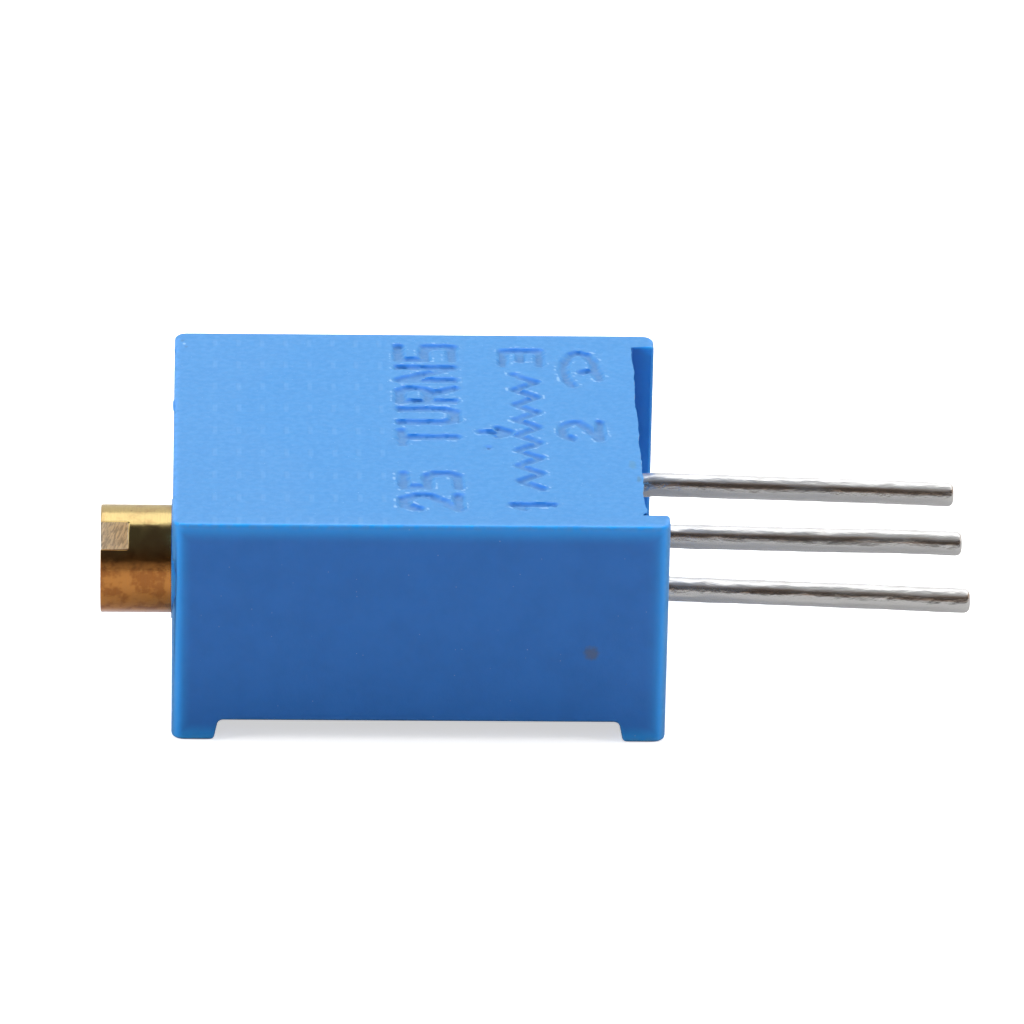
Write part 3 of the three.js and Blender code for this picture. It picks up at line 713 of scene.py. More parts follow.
@dataclass(frozen=True)
class BlueMoulding:
    """The case's glass-filled thermoplastic: even blue, finely grained, a little glossy.

    Its base colour is paler where it is seen aslant, a painted sheen, so it changes as the camera moves.
    Also painted into it: a glow along the edges and standoff tips, a highlight with the wear on
    the edges, glints on the marks' lips and shade in the sunk marks.
    """

    base: Colour = (0.0185, 0.190, 0.66)
    deep: Colour = (0.016, 0.176, 0.615)
    # painted light: a glow laid along the edges and over the standoff tips
    painted_edge_glow: Colour = (0.020, 0.38, 1.0)
    # painted sheen: the colours mixed in where the surface is seen aslant
    painted_sheen: Colour = (0.045, 0.212, 0.495)
    painted_sheen_patch: Colour = (0.054, 0.230, 0.520)
    # paler edges: wear, and a painted highlight where the edges catch the light
    worn_and_lit_edge: Colour = (0.10, 0.31, 0.72)
    # pale specks of dust, and painted glints on the marks' raised lips
    dust_and_glint: Colour = (0.40, 0.58, 0.80)
    # dark specks of soil, and painted shade in the sunk marks
    soil_and_shade: Colour = (0.07, 0.19, 0.42)
    top: float = 4.83
    mark_depth: float = 0.066
    centre: Point = (5.015, 0.0, 2.415)
    half: Point = (5.015, 4.765, 2.415)

    def spot(self, m: Finish, place: Point, radius: float, long: float) -> Socket:
        """A soft round mask about a point, drawn out along Y."""
        gap = m.node("ShaderNodeVectorMath", operation="DISTANCE")
        m.put(gap.inputs[0], m.stretch(m.place, (1.0, 1.0 / long, 1.0)))
        m.put(gap.inputs[1], (place[0], place[1] / long, place[2]))
        wobble = m.math("MULTIPLY", m.noise(m.place, 9.0, 2.0), radius)
        return m.span(m.math("ADD", gap.outputs["Value"], wobble), radius * 1.7, radius * 0.9)

    def dimples(self, m: Finish, x: Socket, y: Socket) -> Socket:
        """The faint rows of dots that the mould left on the screw half of the front."""
        def cell(value: Socket, pitch: float, first: float) -> Socket:
            shifted = m.math("SUBTRACT", value, first)
            share = m.math("FRACT", m.math("DIVIDE", shifted, pitch))
            return m.math("MULTIPLY", m.math("ABSOLUTE", m.math("SUBTRACT", share, 0.5)), pitch)

        across = m.span(cell(x, 0.49, 0.6), 0.07, 0.02)
        along = m.span(cell(y, 1.1, -4.0), 0.24, 0.10)
        dot = m.math("MULTIPLY", across, along)
        inside = m.math("MULTIPLY", m.math("GREATER_THAN", x, 0.5), m.math("LESS_THAN", x, 4.5))
        return m.math("MULTIPLY", dot, inside)

    def make(self) -> bpy.types.Material:
        """Builds the material."""
        m = Finish("blue_moulding")
        x, y, z = m.apart(m.place)
        body = m.effect(Effect.MOTTLE, Base=self.base, Patch=self.deep, Scale=1.3, Low=0.35, High=0.7)
        # Painted light: the edges and the standoff tips glow, laid into the base colour.
        edge_glow_band = m.effect(Effect.EDGE_BAND, Centre=self.centre, Half=self.half, Width=0.42)
        tips = m.math("MULTIPLY", m.span(x, 9.55, 10.0), 0.5)
        lit = m.blend(m.math("MAXIMUM", edge_glow_band.outputs["Mask"], tips), body.outputs["Color"], self.painted_edge_glow)
        # Painted sheen: the base colour turns paler where the surface is seen aslant.
        view = m.feed(m.node("ShaderNodeLayerWeight"), Blend=0.5)
        aslant = m.span(view.outputs["Facing"], 0.12, 0.6)
        painted_sheen_patch = m.effect(Effect.MOTTLE, Base=self.painted_sheen, Patch=self.painted_sheen_patch, Scale=9.0, Low=0.42, High=0.6)
        sheened = m.blend(aslant, lit, painted_sheen_patch.outputs["Color"])
        # Paler edges, broken by noise: partly wear, partly a painted highlight where they catch the light.
        edges = m.effect(Effect.EDGE_BAND, Centre=self.centre, Half=self.half, Width=0.16)
        edge_wear_and_highlight = m.math("MULTIPLY", edges.outputs["Mask"], m.span(m.noise(m.place, 5.0), 0.3, 0.6))
        paler = m.blend(m.math("MULTIPLY", edge_wear_and_highlight, 0.6), sheened, self.worn_and_lit_edge)
        on_top = m.math("GREATER_THAN", z, self.top - 0.02)
        dots = m.math("MULTIPLY", self.dimples(m, x, y), on_top)
        fine = m.effect(Effect.SPECKS, Scale=3.2, Size=0.05, Share=0.35)
        tiny = m.effect(Effect.SPECKS, Scale=7.0, Size=0.09, Share=0.16)
        # Painted glints on the raised lips of the marks, with pale specks of dust over the face.
        lip_glints = m.span(z, self.top + 0.001, self.top + 0.007)
        light = m.math("MAXIMUM", m.math("MAXIMUM", fine.outputs["Mask"], tiny.outputs["Mask"]), lip_glints)
        dotted = m.blend(m.math("MULTIPLY", dots, 0.06), paler, self.dust_and_glint)
        glinted = m.blend(m.math("MULTIPLY", light, 0.42), dotted, self.dust_and_glint)
        dark = m.effect(Effect.SPECKS, Scale=2.3, Size=0.04, Share=0.25)
        specked = m.blend(m.math("MULTIPLY", dark.outputs["Mask"], 0.5), glinted, self.soil_and_shade)
        # Painted shade: the floors of the sunk marks are darkened.
        on_front = m.math("GREATER_THAN", z, self.top - 2 * self.mark_depth)
        sunk = m.math("MULTIPLY", on_front, m.span(z, self.top - 0.012, self.top - self.mark_depth))
        across = m.math("LESS_THAN", m.math("ABSOLUTE", y), 4.5)
        along = m.math("LESS_THAN", m.math("ABSOLUTE", m.math("SUBTRACT", x, 6.7)), 2.5)
        shaded_marks = m.math("MULTIPLY", sunk, m.math("MULTIPLY", across, along))
        coat = m.blend(m.math("MULTIPLY", shaded_marks, 0.55), specked, self.soil_and_shade)
        for blot in BLOTS:
            mask = m.math("MULTIPLY", self.spot(m, blot.place, blot.radius, blot.long), blot.strength)
            coat = m.blend(mask, coat, blot.colour)
        m.set(Base_Color=coat)
        grain = m.effect(Effect.GRAIN, Fine=26.0, Coarse=4.0, Share=0.35)
        height = m.math("SUBTRACT", grain.outputs["Height"], m.math("MULTIPLY", dots, 0.5))
        m.bump(height, 0.012, 0.6)
        m.set(Roughness=m.span(m.noise(m.place, 7.0), 0.2, 0.8, 0.38, 0.52))
        m.set(IOR=1.5, Specular_IOR_Level=0.5)
        m.set(Subsurface_Weight=0.12, Subsurface_Radius=(0.4, 0.7, 1.0), Subsurface_Scale=0.0003)
        return m.material


@dataclass(frozen=True)
class TurnedBrass:
    """The screw's brass: bright above, browned in patches, grey in the slot; darker and redder below by a
    painted reflection and painted shade.
    """

    base: Colour = (0.90, 0.69, 0.30)
    browned: Colour = (0.74, 0.50, 0.22)
    # painted reflection and shade: the darker, redder lower half, and a pinker band near its bottom
    painted_lower_reflection: Colour = (0.58, 0.24, 0.062)
    spot: Colour = (0.40, 0.145, 0.038)
    painted_rim_reflection: Colour = (0.95, 0.50, 0.27)
    milled: Colour = (0.95, 0.78, 0.53)
    scratch: Colour = (0.58, 0.45, 0.30)
    dull: Colour = (0.40, 0.22, 0.10)
    axis_y: float = -3.45
    axis_z: float = 3.45
    head_radius: float = 1.095

    def make(self) -> bpy.types.Material:
        """Builds the material."""
        m = Finish("turned_brass")
        x, y, z = m.apart(m.place)
        upper = m.effect(Effect.MOTTLE, Base=self.base, Patch=self.browned, Scale=2.2, Low=0.45,
                         High=0.7)
        # Painted reflection and shade: below its middle the screw is darker and redder, pinker near the
        # bottom.
        shaded_lower = m.effect(Effect.MOTTLE, Base=self.painted_lower_reflection, Patch=self.spot, Scale=3.4, Low=0.45,
                         High=0.62)
        wavering = m.math("ADD", z, m.math("MULTIPLY", m.noise(m.place, 2.0), 0.3))
        under = m.span(wavering, self.axis_z + 1.0, self.axis_z + 0.55)
        rim = m.blend(m.span(z, self.axis_z - 0.72, self.axis_z - 0.92), shaded_lower.outputs["Color"], self.painted_rim_reflection)
        both = m.blend(under, upper.outputs["Color"], rim)
        blots = m.effect(Effect.SPECKS, Scale=4.5, Size=0.11, Share=0.5)
        spotted = m.blend(m.math("MULTIPLY", blots.outputs["Mask"], 0.4), both, self.dull)
        lines = m.effect(Effect.STREAKS, Stretch=(16.0, 1.0, 1.0), Scale=2.4, Low=0.35, High=0.65)
        turned_skin = m.blend(m.math("MULTIPLY", lines.outputs["Mask"], 0.12), spotted, self.dull)
        slanting = m.node("ShaderNodeMapping", vector_type="POINT")
        m.feed(slanting, Vector=m.place, Rotation=(0.0, math.radians(76), 0.0))
        cuts = m.effect(Effect.STREAKS, Vector=slanting.outputs["Vector"], Stretch=(1.0, 1.0, 9.0),
                        Scale=2.6, Low=0.42, High=0.6)
        slot_skin = m.blend(cuts.outputs["Mask"], self.milled, self.scratch)
        from_axis = m.node("ShaderNodeCombineXYZ")
        m.put(from_axis.inputs["Y"], m.math("SUBTRACT", y, self.axis_y))
        m.put(from_axis.inputs["Z"], m.math("SUBTRACT", z, self.axis_z))
        far = m.node("ShaderNodeVectorMath", operation="LENGTH")
        m.put(far.inputs[0], from_axis.outputs["Vector"])
        inner = m.math("LESS_THAN", far.outputs["Value"], self.head_radius - 0.025)
        in_slot = m.math("MULTIPLY", inner, m.math("LESS_THAN", x, -0.5))
        m.set(Base_Color=m.blend(in_slot, turned_skin, slot_skin))
        m.set(Metallic=m.math("SUBTRACT", 1.0, m.math("MULTIPLY", in_slot, 0.65)))
        rough = m.span(m.noise(m.place, 3.0), 0.3, 0.7, 0.12, 0.22)
        m.set(Roughness=m.math("ADD", rough, m.math("MULTIPLY", in_slot, 0.25)))
        dents = m.noise(m.place, 6.0, 3.0)
        height = m.math("ADD", m.math("MULTIPLY", lines.outputs["Mask"], 0.2), dents)
        cut_height = m.math("MULTIPLY", m.math("MULTIPLY", cuts.outputs["Mask"], in_slot), 2.0)
        m.bump(m.math("ADD", height, cut_height), 0.006, 0.45)
        return m.material


@dataclass(frozen=True)
class TinnedWire:
    """Hot-tinned lead wire: silvery and uneven, with dull grey patches.

    A brown band along its side, a painted reflection, and a darker underside, painted shade, are laid on by
    which way it faces.
    """

    base: Colour = (0.93, 0.925, 0.915)
    dull: Colour = (0.70, 0.68, 0.65)
    # brown: the painted reflection band, also used for pits; under: the underside's painted shade
    brown: Colour = (0.50, 0.38, 0.30)
    under: Colour = (0.60, 0.59, 0.575)

    def make(self) -> bpy.types.Material:
        """Builds the material."""
        m = Finish("tinned_wire")
        body = m.effect(Effect.MOTTLE, Base=self.base, Patch=self.dull, Scale=1.8, Low=0.5, High=0.8)
        _, _, up = m.apart(m.node("ShaderNodeNewGeometry").outputs["Normal"])
        # Painted shade on the underside and a painted reflection in a brown band along the side, by which
        # way the surface faces.
        shaded_lower = m.blend(m.span(up, 0.45, 0.15), body.outputs["Color"], self.under)
        middle_band = m.math("MULTIPLY", m.span(up, 0.2, 0.4), m.span(up, 0.85, 0.6))
        runs = m.effect(Effect.STREAKS, Stretch=(0.3, 3.0, 3.0), Scale=2.2, Low=0.35, High=0.6)
        browned = m.math("MULTIPLY", middle_band, m.span(runs.outputs["Mask"], 0.0, 1.0, 0.35, 1.0))
        band_painted = m.blend(browned, shaded_lower, self.brown)
        pits = m.effect(Effect.SPECKS, Scale=7.0, Size=0.08, Share=0.15)
        m.set(Base_Color=m.blend(m.math("MULTIPLY", pits.outputs["Mask"], 0.4), band_painted, self.brown))
        m.set(Metallic=m.span(up, 0.5, 0.8, 0.9, 0.6))
        m.set(Roughness=m.span(m.noise(m.place, 4.0), 0.3, 0.7, 0.14, 0.24))
        waves = m.stretch(m.place, (0.42, 1.0, 1.0))
        flow = m.effect(Effect.GRAIN, Vector=waves, Fine=11.0, Coarse=2.4, Share=0.24)
        m.bump(flow.outputs["Height"], 0.085, 0.85)
        return m.material


@dataclass(frozen=True)
class PlainFinish:
    """A finish given by two colours, their patches and a grain: resin, ceramic, prints, springs."""

    name: str
    base: Colour
    patch: Colour
    metallic: float
    smooth: float
    dull: float
    scale: float = 1.5
    grain: float = 20.0
    depth: float = 0.006
    streaked: bool = False

    def make(self) -> bpy.types.Material:
        """Builds the material."""
        m = Finish(self.name)
        body = m.effect(Effect.MOTTLE, Base=self.base, Patch=self.patch, Scale=self.scale, Low=0.4,
                        High=0.65)
        specks = m.effect(Effect.SPECKS, Scale=self.scale * 4, Size=0.06, Share=0.3)
        mask = m.math("MULTIPLY", specks.outputs["Mask"], 0.4)
        m.set(Base_Color=m.blend(mask, body.outputs["Color"], self.patch))
        m.set(Metallic=self.metallic)
        m.set(Roughness=m.span(m.noise(m.place, self.scale * 3), 0.3, 0.7, self.smooth, self.dull))
        height = m.effect(Effect.GRAIN, Fine=self.grain, Coarse=self.grain / 6, Share=0.4)
        if self.streaked:
            lines = m.effect(Effect.STREAKS, Stretch=(1.0, 12.0, 1.0), Scale=2.5, Low=0.3, High=0.7)
            m.bump(m.math("ADD", height.outputs["Height"], lines.outputs["Mask"]), self.depth)
        else:
            m.bump(height.outputs["Height"], self.depth)
        return m.material


PLAIN_FINISHES = {
    "silicone": PlainFinish("red_silicone", (0.42, 0.07, 0.03), (0.30, 0.05, 0.025), 0.0, 0.45, 0.6),
    "spring_bronze": PlainFinish(
        "spring_bronze", (0.72, 0.42, 0.22), (0.48, 0.26, 0.13), 1.0, 0.22, 0.4, streaked=True
    ),
    "nylon": PlainFinish("white_nylon", (0.80, 0.78, 0.70), (0.70, 0.67, 0.58), 0.0, 0.4, 0.55),
    "alumina": PlainFinish("alumina", (0.86, 0.85, 0.81), (0.78, 0.76, 0.71), 0.0, 0.5, 0.7),
    "cermet": PlainFinish(
        "cermet_print", (0.035, 0.037, 0.040), (0.06, 0.06, 0.055), 0.0, 0.4, 0.6, streaked=True
    ),
    "silver_print": PlainFinish(
        "silver_print", (0.55, 0.56, 0.55), (0.40, 0.39, 0.36), 0.8, 0.4, 0.55, grain=40.0
    ),
    "solder": PlainFinish("solder", (0.60, 0.61, 0.62), (0.42, 0.42, 0.42), 1.0, 0.22, 0.4),
    "resin": PlainFinish(
        "sealing_resin", (0.025, 0.075, 0.20), (0.02, 0.055, 0.15), 0.0, 0.2, 0.38, grain=8.0
    ),
}


# -------------------------------------------------------------------------------- pieces


@dataclass
class Case:
    """The one-piece moulding: five walls, feet across the back, standoffs by the leads.

    Each of the screw's bores is given by where it starts, where it ends and its radius.
    """

    length: float = 10.03
    width: float = 9.53
    height: float = 4.83
    corner: float = 0.25
    seat_x: float = 9.53
    seat_wall: float = 0.62
    foot_height: float = 0.44
    foot_length: float = 0.95
    foot_taper: float = 0.09
    foot_fillet: float = 0.1
    cavity_low: Point = (1.0, -4.145, -1.0)
    cavity_high: Point = (8.85, 4.145, 4.33)
    block_floor: float = 2.08
    screw_y: float = -3.45
    screw_z: float = 3.45
    lead_z: float = 2.36
    lead_pitch: float = 2.54
    notch: float = 0.42
    wheel: Point = (4.5, 0.25, 0.0)
    edge: float = 0.07
    tear_reach: float = 0.6
    tear_fade: float = 0.15
    tear_cuts: int = 70
    relief: Point = (-1, 0.055, 1.21)
    counterbore: Point = (-1, 0.36, 1.13)
    bore: Point = (0, 7.2, 0.93)
    bearing: Point = (6.7, 8.25, 0.46)

    def outer(self) -> Piece:
        """The outside with rounded corners, before anything is cut away."""
        half = self.width / 2
        made = box("case_moulding", (0, -half, 0), (self.length, half, self.height))
        round_edges(made, lambda e: runs_along(e, 2), self.corner, 6)
        return made

    def underside(self) -> Piece:
        """What is taken away under the case to leave a foot across each end."""
        rise = self.foot_height
        x0, x1 = self.foot_length, self.length - self.foot_length
        made = box("underside", (x0, -self.width, -rise), (x1, self.width, rise))
        select(made, Element.VERTEX, lambda v: v.co.z < 0)
        spread = 1 + 4 * self.foot_taper / (x1 - x0)
        bpy.ops.transform.resize(value=(spread, 1, 1), center_override=((x0 + x1) / 2, 0, 0))
        clear_selection()
        round_edges(made, lambda e: runs_along(e, 1) and middle(e).z > 0, self.foot_fillet, 4)
        return made

    def seat(self) -> Piece:
        """What is taken away between the standoffs, its face torn a little along the front edge."""
        half = self.width / 2 - self.seat_wall
        made = box("seat", (self.seat_x, -half, -1), (self.length + 1, half, self.height + 0.2))
        tear_low = self.height - self.tear_reach
        select(made, Element.FACE, lambda f: f.normal.x < -0.9)
        bpy.ops.mesh.bisect(plane_co=(0, 0, tear_low), plane_no=(0, 0, 1))
        select(made, Element.FACE,
               lambda f: f.normal.x < -0.9 and f.calc_center_median().z > tear_low)
        bpy.ops.mesh.subdivide(number_cuts=self.tear_cuts)
        clear_selection()
        for vertex in made.data.vertices:
            point = vertex.co
            near_front = 1 - (self.height - point.z) / self.tear_reach
            if point.x < self.seat_x + 0.01 and abs(point.y) < half - 0.01 and near_front > 0.01:
                rough = noise.noise((0.0, point.y * 1.1, point.z * 1.5)) * 0.055
                torn = noise.noise((3.0, point.y * 6.0, point.z * 5.0)) * 0.028
                near_front = min(1.0, near_front)
                fade = min(1.0, (half - abs(point.y)) / self.tear_fade)
                point.x += (rough + torn + 0.02 * near_front) * near_front * fade
        return made

    def hollow(self) -> Piece:
        """The inside, less the blocks that hold the screw, the ledge, the pivot and the stop."""
        x0, y0, _ = self.cavity_low
        x1, y1, top = self.cavity_high
        made = box("hollow", self.cavity_low, self.cavity_high)
        floor, block_y = self.block_floor, -2.3
        cut_all(made, [
            box("near_block", (x0 - 1, y0 - 1, floor), (2.05, block_y, top + 1)),
            box("far_block", (7.2, y0 - 1, 2.78), (x1 + 1, block_y, top + 1)),
            box("ledge", (x0 - 1, 3.75, floor), (x1 + 1, y1 + 1, top + 1)),
            self.pivot(),
            self.stop(),
        ])
        return made

    def notches(self) -> list[Piece]:
        """The three notches through the lead-side wall, round over the leads."""
        x0, x1 = self.cavity_high[0] - 0.1, self.length
        first = box("notch", (x0, -self.notch, -1), (x1, self.notch, self.lead_z))
        arch = rod("arch", self.notch, (x0, 0, self.lead_z), (x1, 0, self.lead_z), 32)
        combine(first, arch, Join.ADD)
        copies = [copy_of(first, "notch", (0, side * self.lead_pitch, 0)) for side in (-1, 1)]
        return [first, *copies]

    def bores(self) -> list[Piece]:
        """The screw's relief, counterbore, bore and blind bearing, and the clip's slot."""
        y, z = self.screw_y, self.screw_z
        return [
            *[
                rod(name, radius, (start, y, z), (end, y, z), sides)
                for name, (start, end, radius), sides in (
                    ("relief", self.relief, 64),
                    ("counterbore", self.counterbore, 64),
                    ("bore", self.bore, 64),
                    ("bearing", self.bearing, 32),
                )
            ],
            box("clip_slot", (1.37, y - 0.88, self.block_floor - 0.1), (1.68, y + 0.88, 3.98)),
        ]

    def pivot(self) -> Piece:
        """The peg under the front wall that the wheel turns on."""
        x, y, _ = self.wheel
        return rod("pivot", 0.7, (x, y, 3.05), (x, y, 4.43), 48)

    def stop(self) -> Piece:
        """The stop under the front wall, a piece of a ring about the wheel's axis."""
        x, y, _ = self.wheel
        low, high, half = 4.02, 4.43, math.radians(29.875)
        made = rod("stop", 1.85, (x, y, low), (x, y, high), 96)
        tools = [rod("inside", 1.15, (x, y, low - 1), (x, y, high + 1), 96)]
        for turn in (half, math.pi - half):
            trim = box("trim", (-4, 0, low - 1), (4, 4, high + 1))
            trim.data.transform(Matrix.Translation((x, y, 0)) @ Matrix.Rotation(turn, 4, "Z"))
            tools.append(trim)
        cut_all(made, tools)
        return made

    def flash(self) -> list[Piece]:
        """Slivers of flash left on the front's edges by the mould."""
        places = [((0.0, 1.1, self.height - 0.03), (0.026, 0.30, 0.026)),
                  ((0.01, 3.9, self.height - 0.02), (0.016, 0.16, 0.018))]
        made = []
        for centre, size in places:
            clear_selection()
            bpy.ops.mesh.primitive_uv_sphere_add(segments=16, ring_count=8, radius=1, location=centre)
            bpy.context.object.scale = size
            made.append(settle("flash"))
        return made

    def outside_edge(self, edge: bmesh.types.BMEdge) -> bool:
        """Whether an edge is sharp and lies on the outside, where it shows."""
        if len(edge.link_faces) != 2 or edge.calc_face_angle() < math.radians(35):
            return False
        point = middle(edge)
        x0, y0, _ = self.cavity_low
        x1, y1, top = self.cavity_high
        inside = x0 - 0.01 < point.x < x1 + 0.01 and y0 - 0.01 < point.y < y1 + 0.01
        in_bore = math.hypot(point.y - self.screw_y, point.z - self.screw_z) < 1.0
        on_seat = abs(point.x - self.seat_x) < 0.15 and abs(point.y) < y1 - 0.03
        return not (inside and point.z < top + 0.01) and not in_bore and not on_seat

    def build(self) -> Piece:
        """Moulds the case.

        Returns:
            The case, in millimetres.
        """
        made = self.outer()
        cut_all(made, [self.underside(), self.seat(), self.hollow(), *self.notches(), *self.bores()])
        tidy_mesh(made)
        flatten(made)
        round_edges(made, self.outside_edge, self.edge, 3)
        for sliver in self.flash():
            combine(made, sliver, Join.ADD)
        tidy_mesh(made)
        if max(vertex.co.x for vertex in made.data.vertices) < self.length - 0.01:
            raise RuntimeError("the case lost its walls to a cut")
        Marks(self.height).press(made)
        return made

    def dress(self, made: Piece) -> None:
        """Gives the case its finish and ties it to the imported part."""
        shade(made, 38)
        made.data.materials.clear()
        made.data.materials.append(BlueMoulding().make())
        deliver(made, BODY, ["case"])


Stroke = list[tuple[float, float]]

GLYPHS: dict[str, list[Stroke]] = {
    "1": [[(0.25, 0.75), (0.55, 1), (0.55, 0)]],
    "2": [[(0, 0.75), (0.25, 1), (0.75, 1), (1, 0.75), (1, 0.55), (0, 0), (1, 0)]],
    "3": [[(0, 1), (1, 1), (1, 0), (0, 0)], [(0.35, 0.52), (1, 0.52)]],
    "5": [[(1, 1), (0, 1), (0, 0.55), (0.8, 0.55), (1, 0.4), (1, 0.15), (0.8, 0), (0, 0)]],
    "T": [[(0, 1), (1, 1)], [(0.5, 1), (0.5, 0)]],
    "U": [[(0, 1), (0, 0.2), (0.2, 0), (0.8, 0), (1, 0.2), (1, 1)]],
    "R": [[(0, 0), (0, 1), (0.8, 1), (1, 0.85), (1, 0.6), (0.8, 0.48), (0, 0.48)],
          [(0.5, 0.48), (1, 0)]],
    "N": [[(0, 0), (0, 1), (1, 0), (1, 1)]],
    "S": [[(1, 1), (0, 1), (0, 0.52), (1, 0.52), (1, 0), (0, 0)]],
}


@dataclass(frozen=True)
class Groove:
    """One straight stroke of a mark: its ends and its width at the surface."""

    start: tuple[float, float]
    end: tuple[float, float]
    width: float


@dataclass
class Marks:
    """The marks sunk into the front: a turns legend, a resistor sign and terminal digits."""

    top: float = 4.83
    depth: float = 0.066
    wall: float = 0.09
    stroke: float = 0.19
    heavy: float = 0.23
    low: tuple[float, float] = (4.35, -4.32)
    high: tuple[float, float] = (9.1, 4.42)
    split: float = 0.05
    cuts: int = 164
    pit: tuple[float, float] = (6.45, -0.94)
    pit_size: float = 0.06
    grooves: list[Groove] = field(default_factory=list)

    def line(self, points: Stroke, width: float) -> None:
        """Adds the strokes of a line through points."""
        self.grooves += [Groove(start, end, width) for start, end in pairwise(points)]

    def character(self, letter: str, x: float, y: float, tall: float, wide: float, width: float) -> None:
        """Adds a character whose top points to the screw end.

        Args:
            letter: The character.
            x: Its baseline.
            y: Where it starts.
            tall: Its height.
            wide: Its width between the middles of its strokes.
            width: Its strokes' width.
        """
        for line in GLYPHS[letter]:
            placed = [(x - width / 2 - v * (tall - width), y + u * wide) for u, v in line]
            self.line(placed, width)

    def legend(self, text: str, x: float, start: float, end: float, tall: float) -> None:
        """Adds a line of characters that runs along Y."""
        pitch = (end - start) / len(text)
        for i, letter in enumerate(text):
            if letter != " ":
                self.character(letter, x, start + (i + 0.2) * pitch, tall, pitch * 0.6, self.heavy)

    def resistor_sign(self) -> None:
        """Adds the zigzag of the resistor and the arrow of its wiper."""
        x0, x1, start, end, count = 7.05, 7.5, -2.95, 2.7, 15
        step = (end - start) / count
        self.line([(x0 if i % 2 else x1, start + i * step) for i in range(count + 1)], 0.17)
        y = -0.18
        self.line([(6.32, y), (6.9, y)], self.stroke)
        self.line([(6.66, y - 0.2), (6.9, y), (6.66, y + 0.2)], self.stroke)

    def turning_arrow(self) -> None:
        """Adds the arrow that shows which way the screw turns."""
        x, y = 8.43, 2.95
        angles = [math.radians(-60 + i * 30) for i in range(9)]
        ring = [(x - 0.34 * math.cos(a), y + 0.88 * math.sin(a)) for a in angles]
        tip_x, tip_y = ring[-1]
        self.line(ring, self.stroke)
        self.line([(tip_x - 0.28, tip_y - 0.1), ring[-1], (tip_x + 0.06, tip_y - 0.42)], self.stroke)

    def lay_out(self) -> None:
        """Places every mark."""
        self.legend("25 TURNS", 5.9, -4.15, 4.3, 1.34)
        self.resistor_sign()
        self.turning_arrow()
        self.character("1", 7.78, -4.05, 0.98, 0.6, self.stroke)
        self.character("3", 7.7, 3.2, 0.95, 0.72, self.stroke)
        self.character("2", 8.85, -0.5, 0.95, 0.82, self.stroke)

    def in_panel(self, face: bmesh.types.BMFace) -> bool:
        """Whether a face of the front lies where the marks are."""
        point = face.calc_center_median()
        return (
            face.normal.z > 0.99
            and abs(point.z - self.top) < 0.01
            and self.low[0] - 0.01 < point.x < self.high[0] + 0.01
            and self.low[1] - 0.01 < point.y < self.high[1] + 0.01
        )

    def divide(self, case: Piece) -> None:
        """Cuts the panel free of the rest of the front and divides it finely."""
        planes = [((self.low[0], 0, 0), (1, 0, 0)), ((self.high[0], 0, 0), (1, 0, 0)),
                  ((0, self.low[1], 0), (0, 1, 0)), ((0, self.high[1], 0), (0, 1, 0)),
                  ((0, self.split, 0), (0, 1, 0))]
        for place, way in planes:
            select(case, Element.FACE, self.is_front)
            bpy.ops.mesh.bisect(plane_co=place, plane_no=way)
        select(case, Element.FACE, self.in_panel)
        bpy.ops.mesh.subdivide(number_cuts=self.cuts)
        clear_selection()

    def is_front(self, face: bmesh.types.BMFace) -> bool:
        """Whether a face is part of the flat front."""
        return face.normal.z > 0.99 and abs(face.calc_center_median().z - self.top) < 0.01

    def nearest(self, x: np.ndarray, y: np.ndarray) -> np.ndarray:
        """How far inside the nearest stroke's edge each point lies, in millimetres."""
        inside = np.full(x.shape, -9.0)
        for groove in self.grooves:
            (ax, ay), (bx, by) = groove.start, groove.end
            dx, dy = bx - ax, by - ay
            share = np.clip(((x - ax) * dx + (y - ay) * dy) / (dx * dx + dy * dy), 0, 1)
            gap = np.hypot(x - ax - share * dx, y - ay - share * dy)
            inside = np.maximum(inside, groove.width / 2 - gap)
        return inside

    def press(self, case: Piece) -> None:
        """Sinks the strokes into the panel, with sloping walls and softly broken edges.

        Args:
            case: The case, whose front is flat and not yet divided.
        """
        self.lay_out()
        self.divide(case)
        mesh = case.data
        points = np.empty(len(mesh.vertices) * 3)
        mesh.vertices.foreach_get("co", points)
        points = points.reshape(-1, 3)
        margin = 0.005
        chosen = (
            (abs(points[:, 2] - self.top) < 1e-4)
            & (points[:, 0] > self.low[0] + margin) & (points[:, 0] < self.high[0] - margin)
            & (points[:, 1] > self.low[1] + margin) & (points[:, 1] < self.high[1] - margin)
        )
        x, y = points[chosen, 0], points[chosen, 1]
        wander = np.array([noise.noise((a * 4.0, b * 4.0, 0.0)) for a, b in zip(x, y)])
        fine = np.array([noise.noise((a * 13.0, b * 13.0, 5.0)) for a, b in zip(x, y)])
        inside = self.nearest(x, y) + 0.022 * wander + 0.016 * fine
        share = np.clip((inside + self.wall * 0.4) / self.wall, 0, 1)
        eased = share * share * (3 - 2 * share)
        lip = np.exp(-(((inside + 0.06) / 0.03) ** 2)) * np.clip(2 * fine + wander - 0.1, 0, 1)
        points[chosen, 2] += 0.012 * lip - self.depth * eased * (1 + 0.3 * wander + 0.25 * fine)
        from_pit = np.hypot(x - self.pit[0], (y - self.pit[1]) * 0.8)
        points[chosen, 2] -= self.pit_size * np.exp(-((from_pit / self.pit_size) ** 2))
        mesh.vertices.foreach_set("co", points.ravel())
        mesh.update()


